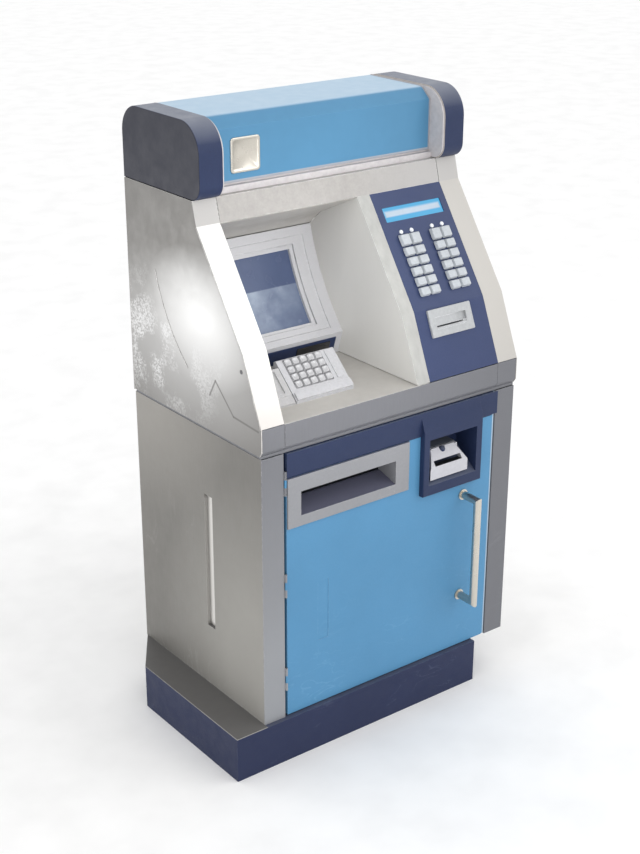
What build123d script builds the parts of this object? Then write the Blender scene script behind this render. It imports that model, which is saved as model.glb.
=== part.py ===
from build123d import *
import os
from math import atan2, cos, hypot, radians, sin

# Free-standing cash machine, millimetres, +Z up, front towards -Y.
# While modelling, depth is measured from the front face of the lower cabinet. The finished
# pieces are moved back by half the depth, so the origin is on the floor at the middle of
# the cabinet.

# ---- driving dimensions --------------------------------------------------------------
WIDTH = 770.0                # lower cabinet, side to side
DEPTH = 533.0                # lower cabinet, front to back
PLINTH_HEIGHT = 116.0
CABINET_TOP = 804.0
CONSOLE_BOTTOM = 812.0
SHELF_TOP = 876.0
RAIL_BOTTOM = 1282.0
RAIL_TOP = 1337.0
HEADER_TOP = 1510.0
PILLAR_WIDTH = 61.0
SHEET = 2.0                  # folded steel sheet
GAP = 0.4                    # between pieces that don't touch

HALF = WIDTH / 2
PILLAR_EDGE = HALF - PILLAR_WIDTH
CONSOLE_HALF = HALF + 2.0
CHEEK_EDGE = 322.5           # seam between the cheeks and what lies between them

# plinth: as wide as the cabinet, set to the left and forward
PLINTH_LEFT = -473.0
PLINTH_RIGHT = 279.0
PLINTH_FRONT = -12.0
PLINTH_BACK = 398.0
PLINTH_WALL = 3.0
ANCHOR_RADIUS = 7.0
ANCHOR_SPACING_X = 500.0
ANCHOR_SPACING_Y = 240.0

# console outline, seen from the side: depth and height
BAND_FRONT = -4.0
CONSOLE_BACK = 537.0
BEND = (62.0, 1034.0)
FASCIA_FOOT = (BAND_FRONT + 1.0, SHELF_TOP + 1.5)
FASCIA_HEAD = (234.0, RAIL_BOTTOM)
RAIL_HEAD = (249.0, RAIL_TOP)
CHEEK_INNER = CHEEK_EDGE + 1.5

# screen bay and control panel
BAY_RIGHT = 65.0
DIVIDER_RIGHT = 102.5
SCREEN_TOP = (416.6, 1180.0)
SCREEN_FOOT = (283.0, 935.0)
SCREEN_SAG = 15.7
CEILING_KNEE = (373.0, 1218.0)
SKIRT_FOOT = (302.0, SHELF_TOP)

# door
DOOR_LEFT = -317.4
DOOR_RIGHT = 312.0
FRAME_RIGHT = 321.5          # the door frame shows as a light edge beside the skin
DOOR_BOTTOM = PLINTH_HEIGHT + 3.5
DOOR_TOP = CABINET_TOP - 1.5
STRIP_BOTTOM = 745.0
HINGE_X = -320.7
HINGE_Y = -1.0
PIN_RADIUS = 1.5
KNUCKLE_RADIUS = 2.9
PIN_CLEARANCE = 0.05

TRAY = (-316.8, 43.0, 615.0, 741.0)          # left, right, bottom, top of the tray bezel
TRAY_MOUTH = (-280.0, 1.0, 642.0, 702.0)
TRAY_PROUD = 6.0
TRAY_DEPTH = 60.0

POD = (81.0, 270.0, 586.0, STRIP_BOTTOM)     # card pod that hangs below the strip
POD_PROUD = 16.0
CARD_RECESS = (98.0, 251.0, 611.0, 733.0)
CARD_FLOOR_ANGLE = 39.0

HANDLE_X = 226.0
HANDLE_LOW = 268.0
HANDLE_HIGH = 550.0
HANDLE_REACH = 55.0
HANDLE_RADIUS = 10.0

# keys
KEY_COLUMNS_X = (152.0, 184.5, 249.0, 281.0)
KEY_WIDTH = 29.8
KEY_DEPTH = 23.0
KEY_PITCH = 25.8
TALL_KEY_DEPTH = 30.0
FIRST_KEY_Z = 1177.0
KEY_TRAVEL = 2.5
KEY_HEIGHT = 8.0
KEY_TAPER = 18.0             # degrees
BOARD_ANGLE = 42.0
BOARD_FOOT = (85.0, 889.0)
BOARD_KEY_COLUMNS = 5
BOARD_KEY_ROWS = 4
BOARD_PITCH_X = 22.0
BOARD_PITCH_U = 19.5
BOARD_KEY_WIDTH = 18.0
BOARD_KEY_DEPTH = 16.5
BOARD_FIRST_X = -202.5
BOARD_FIRST_U = 30.0


# ---- shapes --------------------------------------------------------------------------
def block(x0, x1, y0, y1, z0, z1):
    size = Box(x1 - x0, y1 - y0, z1 - z0)
    return Pos((x0 + x1) / 2, (y0 + y1) / 2, (z0 + z1) / 2) * size


def outline(points, plane):
    return plane * make_face(Polyline(*points, close=True))


def side_prism(points, x0, x1):
    """A prism whose outline is given as depth and height, from x0 to x1."""
    return extrude(outline(points, Plane.YZ.offset(x0)), amount=x1 - x0)


def plan_prism(points, z0, z1):
    return extrude(outline(points, Plane.XY.offset(z0)), amount=z1 - z0)


def rod(radius, start, end):
    axis = Vector(*end) - Vector(*start)
    return extrude(Plane(origin=start, z_dir=axis) * Circle(radius), amount=axis.length)


def rounded_block(x0, x1, y0, y1, z0, z1, radius, axis=Axis.Z):
    body = block(x0, x1, y0, y1, z0, z1)
    return fillet(body.edges().filter_by(axis), radius)


def slope_plane(low, high, x, z, lift=0.0):
    """A plane on the straight slope low-high: its x is +X, its y runs up the slope."""
    lean = atan2(high[0] - low[0], high[1] - low[1])
    y = low[0] + (z - low[1]) * (high[0] - low[0]) / (high[1] - low[1])
    out = Vector(0, -cos(lean), sin(lean))
    return Plane(origin=Vector(x, y, z) + out * lift, x_dir=(1, 0, 0), z_dir=out)


def upper_slope(x, z, lift=0.0):
    return slope_plane(BEND, FASCIA_HEAD, x, z, lift)


def lower_slope(x, z, lift=0.0):
    return slope_plane(FASCIA_FOOT, BEND, x, z, lift)


def board_plane(x, u, lift=0.0):
    lean = radians(BOARD_ANGLE)
    out = Vector(0, -sin(lean), cos(lean))
    along = Vector(0, cos(lean), sin(lean))
    origin = Vector(x, *BOARD_FOOT) + along * u + out * lift
    return Plane(origin=origin, x_dir=(1, 0, 0), z_dir=out)


def on_plane(plane, width, depth, height, radius=0.0):
    shape = RectangleRounded(width, depth, radius) if radius else Rectangle(width, depth)
    return extrude(plane * shape, amount=height)


def offset_line(points, distance):
    """Points of an open line moved to its back, mitred at the bends."""
    moved = []
    normals = []
    for (ya, za), (yb, zb) in zip(points, points[1:]):
        length = hypot(yb - ya, zb - za)
        normals.append(((zb - za) / length, -(yb - ya) / length))
    for index, (y, z) in enumerate(points):
        before = normals[max(index - 1, 0)]
        after = normals[min(index, len(normals) - 1)]
        scale = distance / (1 + before[0] * after[0] + before[1] * after[1])
        moved.append((y + (before[0] + after[0]) * scale, z + (before[1] + after[1]) * scale))
    return moved


def strap(points, thickness, x0, x1, lift=0.0):
    """A sheet bent along a line, with its back thickness behind the line."""
    front = offset_line(points, -lift) if lift else list(points)
    return side_prism(front + offset_line(points, thickness)[::-1], x0, x1)


FASCIA = (FASCIA_FOOT, BEND, FASCIA_HEAD)
CHEEK_FRONT = (FASCIA_FOOT, BEND, FASCIA_HEAD, RAIL_HEAD)


def edge_rib(line, depth, x0, x1):
    """A sheet on edge behind a sloping line, cut off level at the foot of the line."""
    rib = side_prism(list(line) + offset_line(line, depth)[::-1], x0, x1)
    foot = line[0][1]
    return rib - block(x0 - 1, x1 + 1, line[0][0] - 10, line[0][0] + depth + 10, foot - depth, foot)


# ---- hinges --------------------------------------------------------------------------
def knuckle(x, y, z0, z1, tab_x, tab_y):
    """One hinge knuckle: a ring on the pin line, with a tab to the piece that carries it."""
    bore = PIN_RADIUS + PIN_CLEARANCE
    ring = rod(KNUCKLE_RADIUS, (x, y, z0), (x, y, z1))
    inner = x + (bore + 0.2) * (1 if tab_x > x else -1)
    tab = block(min(inner, tab_x), max(inner, tab_x), min(y, tab_y), max(y, tab_y), z0, z1)
    return ring + tab - rod(bore, (x, y, z0 - 1), (x, y, z1 + 1))


FRONT_HINGES = (190.0, 440.0, 700.0)
REAR_HINGES = (220.0, 640.0)
KNUCKLE_LENGTH = 20.0
REAR_HINGE_X = 297.0
REAR_HINGE_Y = DEPTH + 1.0


def fixed_knuckles(x, y, heights, tab_x, tab_y):
    rings = []
    for z in heights:
        rings.append(knuckle(x, y, z, z + KNUCKLE_LENGTH, tab_x, tab_y))
        upper = z + 2 * KNUCKLE_LENGTH
        rings.append(knuckle(x, y, upper, upper + KNUCKLE_LENGTH, tab_x, tab_y))
    return rings


def moving_knuckles(x, y, heights, tab_x, tab_y):
    rings = []
    for z in heights:
        low = z + KNUCKLE_LENGTH + GAP
        rings.append(knuckle(x, y, low, z + 2 * KNUCKLE_LENGTH - GAP, tab_x, tab_y))
    return rings


def join(first, others):
    for other in others:
        first = first + other
    return first


def hinge_pins():
    pins = []
    for x, y, heights in ((HINGE_X, HINGE_Y, FRONT_HINGES), (REAR_HINGE_X, REAR_HINGE_Y, REAR_HINGES)):
        for z in heights:
            pins.append(rod(PIN_RADIUS, (x, y, z), (x, y, z + 3 * KNUCKLE_LENGTH)))
    return Compound(pins)


# ---- lower cabinet -------------------------------------------------------------------
def plinth():
    left, right, front, back = PLINTH_LEFT, PLINTH_RIGHT, PLINTH_FRONT, PLINTH_BACK
    wall = PLINTH_WALL
    body = block(left, right, front, back, 0, PLINTH_HEIGHT)
    body = body - block(left + wall, right - wall, front + wall, back - wall, wall + 1, PLINTH_HEIGHT - wall)
    inset = 30.0
    body = body - block(left + inset, right - inset, front + inset, back - inset,
                        PLINTH_HEIGHT / 2, PLINTH_HEIGHT + 1)
    for x in (-ANCHOR_SPACING_X / 2, ANCHOR_SPACING_X / 2):
        for y in (DEPTH / 2 - ANCHOR_SPACING_Y, DEPTH / 2):
            body = body - rod(ANCHOR_RADIUS, (x - 97, y, -1), (x - 97, y, wall + 2))
    return body


def cabinet_floor():
    edge = SHEET + GAP
    body = block(-HALF + edge, HALF - edge, 44, DEPTH - 32, PLINTH_HEIGHT, PLINTH_HEIGHT + 3)
    lip = block(-PILLAR_EDGE + edge, PILLAR_EDGE - edge, 42, 44, PLINTH_HEIGHT, PLINTH_HEIGHT + 3)
    return body + lip


SLOT_Y = (204.0, 236.0)
SLOT_Z = (283.0, 636.0)
SLOT_DEEP = 11.0


def side_panel(side):
    """Folded side sheet with a long pressed slot; side is -1 for the left, 1 for the right."""
    outer, inner = side * HALF, side * (HALF - SHEET)
    low, high = min(outer, inner), max(outer, inner)
    body = block(low, high, SHEET, DEPTH - SHEET, PLINTH_HEIGHT, CABINET_TOP)
    pocket_in = side * (HALF - SLOT_DEEP)
    cut_in = side * (HALF - SLOT_DEEP + SHEET)
    pocket = block(min(pocket_in, inner), max(pocket_in, inner),
                   SLOT_Y[0] - SHEET, SLOT_Y[1] + SHEET, SLOT_Z[0] - SHEET, SLOT_Z[1] + SHEET)
    far = side * (HALF + 1)
    body = body + pocket
    body = body - block(min(cut_in, far), max(cut_in, far), *SLOT_Y, *SLOT_Z)
    flange_in = side * (HALF - 18)
    for z0 in (PLINTH_HEIGHT + 4, CABINET_TOP - SHEET):
        body = body + block(min(inner, flange_in), max(inner, flange_in), 46, DEPTH - 34, z0, z0 + SHEET)
    return body


def left_side_panel():
    """Left side sheet with the flange that covers the plinth beside it."""
    near, far = -HALF, -HALF + SHEET
    flange = [(PLINTH_LEFT, PLINTH_FRONT), (near, PLINTH_FRONT), (near, SHEET), (far, SHEET),
              (far, DEPTH - SHEET - 0.5), (near, DEPTH - SHEET - 0.5), (PLINTH_LEFT, PLINTH_BACK)]
    return side_panel(-1) + plan_prism(flange, PLINTH_HEIGHT, PLINTH_HEIGHT + SHEET)


def pillar(side):
    outer, edge = side * HALF, side * PILLAR_EDGE
    front = block(min(outer, edge), max(outer, edge), 0, SHEET, PLINTH_HEIGHT, CABINET_TOP)
    back_of_return = side * (PILLAR_EDGE + SHEET)
    inner = block(min(edge, back_of_return), max(edge, back_of_return), 0, 42, PLINTH_HEIGHT, CABINET_TOP)
    body = front + inner
    return fillet(body.edges().filter_by(Axis.Z).sort_by_distance((edge, 0, 400))[0], 1.5)


def left_pillar():
    rings = fixed_knuckles(HINGE_X, HINGE_Y, FRONT_HINGES, -PILLAR_EDGE, 9.0)
    return join(pillar(-1), rings)


LATCH_Z = 430.0


def right_pillar():
    keeper = block(PILLAR_EDGE - 1, PILLAR_EDGE + 3, 12, 28, LATCH_Z - 14, LATCH_Z + 14)
    return pillar(1) - keeper


def mid_deck():
    """Deck between cabinet and console; its edge shows as a narrow band along the sides."""
    inset = 0.6
    body = block(-HALF + inset, HALF - inset, 3, DEPTH - 3, CABINET_TOP, CONSOLE_BOTTOM)
    body = body - block(-HALF + 40, HALF - 40, 45, DEPTH - 45, CABINET_TOP + 3, CONSOLE_BOTTOM + 1)
    for x in (-200, 200):
        body = body - rod(30, (x, 420, CABINET_TOP - 1), (x, 420, CONSOLE_BOTTOM + 1))
    return body


FRAME_SIDE = 300.0
FRAME_LOW = 150.0
FRAME_HIGH = 770.0
REAR_FRAME_DEEP = 30.0


def rear_frame():
    y0, y1 = DEPTH - REAR_FRAME_DEEP, DEPTH
    body = block(-HALF + SHEET, HALF - SHEET, DEPTH - SHEET, y1, PLINTH_HEIGHT, CABINET_TOP)
    body = body + block(-HALF, -HALF + SHEET, DEPTH - SHEET, y1, PLINTH_HEIGHT, CABINET_TOP)
    body = body + block(HALF - SHEET, HALF, DEPTH - SHEET, y1, PLINTH_HEIGHT, CABINET_TOP)
    body = body + block(-FRAME_SIDE - SHEET, FRAME_SIDE + SHEET, y0, y1, FRAME_LOW - SHEET, FRAME_HIGH + SHEET)
    body = body - block(-FRAME_SIDE, FRAME_SIDE, y0 - 1, y1 + 1, FRAME_LOW, FRAME_HIGH)
    gland_hole = rod(11.2, (-340, DEPTH - 5, 180), (-340, DEPTH + 5, 180))
    rings = fixed_knuckles(REAR_HINGE_X, REAR_HINGE_Y, REAR_HINGES, FRAME_SIDE, DEPTH - 6)
    return join(body - gland_hole, rings)


def rear_door():
    x0, x1 = -FRAME_SIDE + 3, FRAME_SIDE - 6
    z0, z1 = FRAME_LOW + 3, FRAME_HIGH - 3
    body = block(x0, x1, DEPTH - 14, DEPTH, z0, z1)
    body = body - block(x0 + SHEET, x1 - SHEET, DEPTH - 15, DEPTH - SHEET, z0 + SHEET, z1 - SHEET)
    for row in range(12):
        z = 560.0 + row * 14.0
        body = body - block(-130, 130, DEPTH - 5, DEPTH + 1, z, z + 6)
    body = body - rod(8.1, (-270, DEPTH - 5, 460), (-270, DEPTH + 1, 460))
    rings = moving_knuckles(REAR_HINGE_X, REAR_HINGE_Y, REAR_HINGES, FRAME_SIDE - 6, DEPTH - 6)
    return join(body, rings)


def rear_lock():
    """Cam lock of the rear door: a cylinder through the sheet, and a cam behind the frame lip."""
    barrel = rod(8.0, (-270, DEPTH - 36, 460), (-270, DEPTH + 1, 460))
    face = rod(12.0, (-270, DEPTH + GAP / 2, 460), (-270, DEPTH + 3.2, 460))
    slot = block(-271, -269, DEPTH + 1.5, DEPTH + 4, 455, 465)
    cam = rounded_block(-278, -262, DEPTH - 36, DEPTH - 33, 418, 468, 6, Axis.Y)
    return barrel + face - slot + cam


def cable_gland():
    """Mains inlet gland, with its free passage."""
    x, z = -340.0, 180.0
    body = rod(11.0, (x, DEPTH - 14, z), (x, DEPTH + 3.2, z))
    flats = extrude(Plane(origin=(x, DEPTH + GAP / 2, z), z_dir=(0, 1, 0)) * RegularPolygon(13, 6), amount=3)
    nut = extrude(Plane(origin=(x, DEPTH - 9, z), z_dir=(0, 1, 0)) * RegularPolygon(14, 6), amount=5)
    passage = rod(5.0, (x, DEPTH - 20, z), (x, DEPTH + 10, z))
    return body + flats + nut - passage


def panel_screws():
    """Pan-head screws of the upper and lower rear sheets."""
    heads = []
    for z in (840.0, 1075.0, 1310.0):
        for x in (-365.0, 365.0):
            dome = Sphere(6.0) & block(-7, 7, 2.2, 7, -7, 7)
            dome = dome - block(-4, 4, 5.0, 7, -0.6, 0.6)
            heads.append(Pos(x, CONSOLE_BACK - 2.2, z) * dome)
    return Compound(heads)


# ---- front door ----------------------------------------------------------------------
DOOR_SKIN = 2.0
FRAME_DEEP = 22.0


def door_skin():
    body = block(DOOR_LEFT, DOOR_RIGHT, 0, DOOR_SKIN, DOOR_BOTTOM, DOOR_TOP)
    mouth = block(TRAY_MOUTH[0] - 6, TRAY_MOUTH[1] + 6, -1, 4, TRAY_MOUTH[2] - 6, TRAY_MOUTH[3] + 6)
    reader = block(CARD_RECESS[0] - 6, CARD_RECESS[1] + 6, -1, 4, CARD_RECESS[2] - 6, CARD_RECESS[3] + 6)
    body = body - mouth - reader
    grip = rounded_block(-227, -196, -1, 1.0, 293, 452, 2, Axis.Y)
    body = body - grip
    behind = rounded_block(-229, -194, DOOR_SKIN, DOOR_SKIN + 1.2, 291, 454, 2, Axis.Y)
    return body + behind


def door_frame():
    x0, x1 = DOOR_LEFT, FRAME_RIGHT
    y0, y1 = DOOR_SKIN + 1.4, DOOR_SKIN + FRAME_DEEP
    body = block(x0, x1, y0, y1, DOOR_BOTTOM, DOOR_TOP)
    bar = 32.0
    body = body - block(x0 + bar, x1 - bar, y0 - 1, y1 + 1, DOOR_BOTTOM + bar, 590)
    body = body - block(x0 + bar, TRAY_MOUTH[1] + 24, y0 - 1, y1 + 1, 608, DOOR_TOP - bar + 16)
    body = body - block(75, x1 - 30, y0 - 1, y1 + 1, 596, DOOR_TOP - bar)
    rim = block(x0, x1, DOOR_SKIN, y0, DOOR_BOTTOM, DOOR_TOP)
    rim = rim - block(x0 + 12, x1 - 12, 0, y0 + 1, DOOR_BOTTOM + 12, DOOR_TOP - 12)
    body = body + rim
    hollow = block(x1 - 30, x1 - 2, y0 + 4, y1 - 2, LATCH_Z - 9, LATCH_Z + 9)
    tongue_way = block(x1 - 31, x1 + 1, 13.5, 21.5, LATCH_Z - 8.5, LATCH_Z + 8.5)
    rings = moving_knuckles(HINGE_X, HINGE_Y, FRONT_HINGES, DOOR_LEFT, 9.0)
    return join(body - hollow - tongue_way, rings)


def door_latch():
    """Slam latch: drawn back at rest, it slides out 10 mm into the right pillar."""
    x1 = FRAME_RIGHT - 0.5
    body = block(x1 - 26, x1, 14, 21, LATCH_Z - 8, LATCH_Z + 8)
    bevel = plan_prism([(x1 - 5, 21.1), (x1 + 1, 21.1), (x1 + 1, 15)], LATCH_Z - 10, LATCH_Z + 10)
    return body - bevel


def fascia_strip():
    """Dark strip across the top of the door, with the card pod hanging from it."""
    proud = 3.0
    strip = block(DOOR_LEFT, 328, -proud, 0, STRIP_BOTTOM, DOOR_TOP)
    left, right, bottom, top = POD
    slope_top = top + 44
    pod = side_prism([(0, bottom), (-POD_PROUD + 2, bottom), (-POD_PROUD, bottom + 2),
                      (-POD_PROUD, top + 8), (-proud, slope_top), (0, slope_top)], left, right)
    pod = fillet(pod.edges().filter_by(Axis.Z).group_by(Axis.Y)[0], 3)
    body = strip + pod
    x0, x1, z0, z1 = CARD_RECESS
    deep = 62.0
    shell = block(x0 - 3, x1 + 3, 0, deep, z0 - 3, z1 + 3)
    body = body + shell
    rise = deep * sin(radians(CARD_FLOOR_ANGLE)) / cos(radians(CARD_FLOOR_ANGLE))
    floor_front = z0 + 1
    cavity = side_prism([(-POD_PROUD - 1, floor_front), (0, floor_front + 12),
                         (deep - 3, floor_front + rise + 4), (deep - 3, z1), (-POD_PROUD - 1, z1)], x0, x1)
    passage = block(112, 218, 20, deep + 1, 656, 690)
    return body - cavity - passage


def card_nose():
    """White reader mouth that stands on the sloping floor of the pod."""
    x0, x1, mid = 105.0, 225.0, 165.0
    front, z0, z1 = -13.0, 634.0, 655.0
    foot = [(x0, z0 - 10), (x1, z0 - 10), (x1, z1 - 4), (x1 - 2, z1), (x0 + 2, z1), (x0, z1 - 4)]
    points_front = [Vector(x, front, z) for x, z in foot]
    front_face = make_face(Polyline(*points_front, close=True))
    back = 14.0
    top_back = 692.0
    half = 39.0
    ends = [(mid - half - 8, 676), (mid + half + 8, 676), (mid + half, top_back - 5),
            (mid + half - 2, top_back), (mid - half + 2, top_back), (mid - half, top_back - 5)]
    back_face = make_face(Polyline(*[Vector(x, back, z) for x, z in ends], close=True))
    body = loft([front_face, back_face])
    body = body + block(118, 212, back - 1, 24, 678, 690)
    floor_cut = side_prism([(-20, 600), (-POD_PROUD - 4, 612.3), (0, 625), (59, 665), (70, 600)], 60, 300)
    body = body - floor_cut
    slot = block(mid - 43, mid + 43, front - 5, 20, 657, 668)
    notch = rod(9.0, (mid - 3, 17, 680), (mid - 3, 4, 712))
    return body - slot - notch


def card_reader():
    body = block(112.5, 217.5, 30, 150, 657, 689.5)
    body = body + block(125, 205, 70, 150, 640, 657)
    return body - block(118, 212, 29, 100, 660, 666)


def tray_bezel():
    """Deposit and cash tray: frame, sloping floor and side walls in one moulding."""
    left, right, bottom, top = TRAY
    x0, x1, z0, z1 = TRAY_MOUTH
    frame = block(left, right, -TRAY_PROUD, 0, bottom, top)
    frame = chamfer(frame.faces().sort_by(Axis.Y)[0].edges(), 1.2)
    wall = 3.0
    shell = block(x0 - wall, x1 + wall, 0, TRAY_DEPTH, z0 - wall, z1 + wall)
    body = frame + shell
    cavity = side_prism([(-TRAY_PROUD - 1, z0), (-2, z0), (TRAY_DEPTH - 8, z0 + 16), (TRAY_DEPTH + 1, z0 + 16),
                         (TRAY_DEPTH + 1, z1), (-TRAY_PROUD - 1, z1)], x0, x1)
    body = body - cavity
    rails = block(x0 - 9, x1 + 9, TRAY_DEPTH, TRAY_DEPTH + 9, z0 + 4, z1 + 46)
    rails = rails - block(x0 - 4, x1 + 4, TRAY_DEPTH - 1, TRAY_DEPTH + 10, z0 + 3, z1 + 47)
    groove = block(x0 - 7, x1 + 7, TRAY_DEPTH + 2.6, TRAY_DEPTH + 6.4, z0 + 7, z1 + 47)
    ledge = block(x0 - 9, x0 - wall, TRAY_DEPTH - 3, TRAY_DEPTH, z0, z1)
    other = block(x1 + wall, x1 + 9, TRAY_DEPTH - 3, TRAY_DEPTH, z0, z1)
    return body + (rails - groove) + ledge + other


def tray_shutter():
    x0, x1, z0, z1 = TRAY_MOUTH
    plate = block(x0 - 6.4, x1 + 6.4, TRAY_DEPTH + 3, TRAY_DEPTH + 6, z0 + 8, z1 + 2)
    rib = block(x0 + 6, x1 - 6, TRAY_DEPTH + 1.5, TRAY_DEPTH + 3, z0 + 24, z0 + 30)
    return plate + rib


def door_handle():
    reach, radius = -HANDLE_REACH, HANDLE_RADIUS
    path = Polyline((HANDLE_X, 0, HANDLE_HIGH), (HANDLE_X, reach, HANDLE_HIGH),
                    (HANDLE_X, reach, HANDLE_LOW), (HANDLE_X, 0, HANDLE_LOW))
    section = Plane(origin=(HANDLE_X, 0, HANDLE_HIGH), z_dir=(0, -1, 0)) * Circle(radius)
    bar = sweep(section, path=path, transition=Transition.RIGHT)
    rosettes = [rod(radius + 4, (HANDLE_X, -3, z), (HANDLE_X, 0, z)) for z in (HANDLE_HIGH, HANDLE_LOW)]
    return join(bar, rosettes)


# ---- console -------------------------------------------------------------------------
def cheek_outline():
    foot = CONSOLE_BOTTOM - 1
    return [(BAND_FRONT + 8, foot), (BAND_FRONT, CONSOLE_BOTTOM + 10), (BAND_FRONT, SHELF_TOP),
            FASCIA_FOOT, BEND, FASCIA_HEAD, RAIL_HEAD, (CONSOLE_BACK - SHEET, RAIL_TOP),
            (CONSOLE_BACK - SHEET, foot)]


PRESS_START = (414.0, 1142.0)
PRESS_MIDDLE = (366.0, 1031.0)
PRESS_END = (287.0, 939.0)
GROOVE_DEEP = 0.8


def cheek(side):
    """Console side: outer sheet, front strap along the slope, and the inner sheet."""
    outer, skin = side * CONSOLE_HALF, side * (CONSOLE_HALF - SHEET)
    edge, lining = side * CHEEK_INNER, side * (CHEEK_INNER + SHEET)
    body = side_prism(cheek_outline(), min(outer, skin), max(outer, skin))
    face = strap(CHEEK_FRONT, SHEET, min(skin, edge), max(skin, edge))
    if side < 0:
        outline_of_wall = [FASCIA_FOOT, BEND, FASCIA_HEAD, RAIL_HEAD, (300, RAIL_TOP), (430, 1200),
                           (430, FASCIA_FOOT[1])]
        inner = side_prism(outline_of_wall, min(edge, lining), max(edge, lining))
    else:
        inner = edge_rib(CHEEK_FRONT, 34, min(edge, lining), max(edge, lining))
    body = body + face + inner
    groove_line = ThreePointArc(PRESS_START, PRESS_MIDDLE, PRESS_END)
    low = min(outer, outer - side * GROOVE_DEEP)
    groove = extrude(Plane.YZ.offset(low) * trace(groove_line, 5), amount=GROOVE_DEEP)
    seam = side_prism(offset_line(FASCIA, 2.2) + offset_line(FASCIA, 3.8)[::-1], low, low + GROOVE_DEEP)
    return body - groove - seam


def corner_blocks():
    blocks = []
    for side in (-1, 1):
        outer, inner = side * (CONSOLE_HALF - SHEET), side * (CHEEK_EDGE + 0.3)
        profile = [(26, CONSOLE_BOTTOM), (BAND_FRONT + 8, CONSOLE_BOTTOM), (BAND_FRONT, CONSOLE_BOTTOM + 10),
                   (BAND_FRONT, SHELF_TOP), (26, SHELF_TOP)]
        body = side_prism(profile, min(outer, inner), max(outer, inner))
        blocks.append(body - block(min(outer, inner) + 3, max(outer, inner) - 3, 2, 30,
                                   CONSOLE_BOTTOM + 3, SHELF_TOP - 3))
    return Compound(blocks)


def console_band():
    profile = [(24, CONSOLE_BOTTOM), (BAND_FRONT + 8, CONSOLE_BOTTOM), (BAND_FRONT, CONSOLE_BOTTOM + 10),
               (BAND_FRONT, SHELF_TOP - 0.5), (-2, SHELF_TOP - 0.5), (-2, CONSOLE_BOTTOM + 12),
               (BAND_FRONT + 9, CONSOLE_BOTTOM + 2), (24, CONSOLE_BOTTOM + 2)]
    return side_prism(profile, -CHEEK_EDGE + 0.3, CHEEK_EDGE - 0.3)


def top_rail():
    line = (FASCIA_HEAD, RAIL_HEAD)
    body = strap(line, SHEET, -CHEEK_EDGE, CHEEK_EDGE)
    fold = [(235.6, RAIL_BOTTOM), (250, RAIL_BOTTOM + 1), (250, RAIL_BOTTOM + 3), (236.3, RAIL_BOTTOM + 2.4)]
    lip = side_prism(fold, -CHEEK_EDGE, CHEEK_EDGE)
    back = block(-CHEEK_EDGE, CHEEK_EDGE, 250.5, 272, RAIL_TOP - SHEET, RAIL_TOP)
    return body + lip + back


def shelf_plate():
    left = -CHEEK_EDGE + GAP
    front = block(left, DIVIDER_RIGHT, BAND_FRONT + SHEET, 27, SHELF_TOP - 3, SHELF_TOP)
    plate = block(-CHEEK_INNER, DIVIDER_RIGHT, 27, 430, SHELF_TOP - 3, SHELF_TOP)
    lip = block(left, DIVIDER_RIGHT, BAND_FRONT + SHEET, 0, SHELF_TOP - 22, SHELF_TOP - 3)
    return front + plate + lip


def bay_wall():
    """Right wall of the screen bay, with the white divider strap on its front edge."""
    x0, x1 = BAY_RIGHT, DIVIDER_RIGHT
    face = strap(FASCIA, SHEET, x0, x1)
    wall = [FASCIA_FOOT, BEND, FASCIA_HEAD, CEILING_KNEE, (430, 1172), (430, FASCIA_FOOT[1])]
    body = face + side_prism(wall, x0, x0 + SHEET)
    return body + edge_rib(FASCIA, 24, x1 - SHEET, x1)


def bay_ceiling():
    line = [(236.2, RAIL_BOTTOM - 3), CEILING_KNEE, (SCREEN_TOP[0] + 1.5, SCREEN_TOP[1] + 1.5),
            (432, SCREEN_TOP[1] + 0.6)]
    above = [(y + 0.8, z + SHEET) for y, z in line]
    return side_prism(line + above[::-1], -CHEEK_INNER, BAY_RIGHT - 0.2)


def screen_arc():
    """Centre, radius and end angles of the dished screen surround, seen from the side."""
    (y0, z0), (y1, z1) = SCREEN_FOOT, SCREEN_TOP
    chord = hypot(y1 - y0, z1 - z0)
    radius = (chord ** 2 / 4 + SCREEN_SAG ** 2) / (2 * SCREEN_SAG)
    reach = radius - SCREEN_SAG
    cy = (y0 + y1) / 2 - (z1 - z0) / chord * reach
    cz = (z0 + z1) / 2 + (y1 - y0) / chord * reach
    return (cy, cz), radius, atan2(z0 - cz, y0 - cy), atan2(z1 - cz, y1 - cy)


def dish(front, back, low, high, x0, x1):
    """Part of a shell parallel to the surround: depths behind it, and shares of its arc."""
    (cy, cz), radius, start, end = screen_arc()
    a0 = start + (end - start) * low
    a1 = start + (end - start) * high
    middle = (a0 + a1) / 2

    def at(depth, angle):
        return (cy + (radius + depth) * cos(angle), cz + (radius + depth) * sin(angle))

    edges = [ThreePointArc(at(front, a0), at(front, middle), at(front, a1)), Line(at(front, a1), at(back, a1)),
             ThreePointArc(at(back, a1), at(back, middle), at(back, a0)), Line(at(back, a0), at(front, a0))]
    return extrude(Plane.YZ.offset(x0) * make_face(edges), amount=x1 - x0)


BEZEL_LEFT = -CHEEK_INNER + 0.3
BEZEL_RIGHT = BAY_RIGHT - 0.3
GROOVE = (-295.0, 36.0, 0.055, 0.925)
INNER_STEP = (-262.0, 2.0, 0.115, 0.855)
WINDOW = (-250.0, -9.0, 0.145, 0.815)


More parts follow.
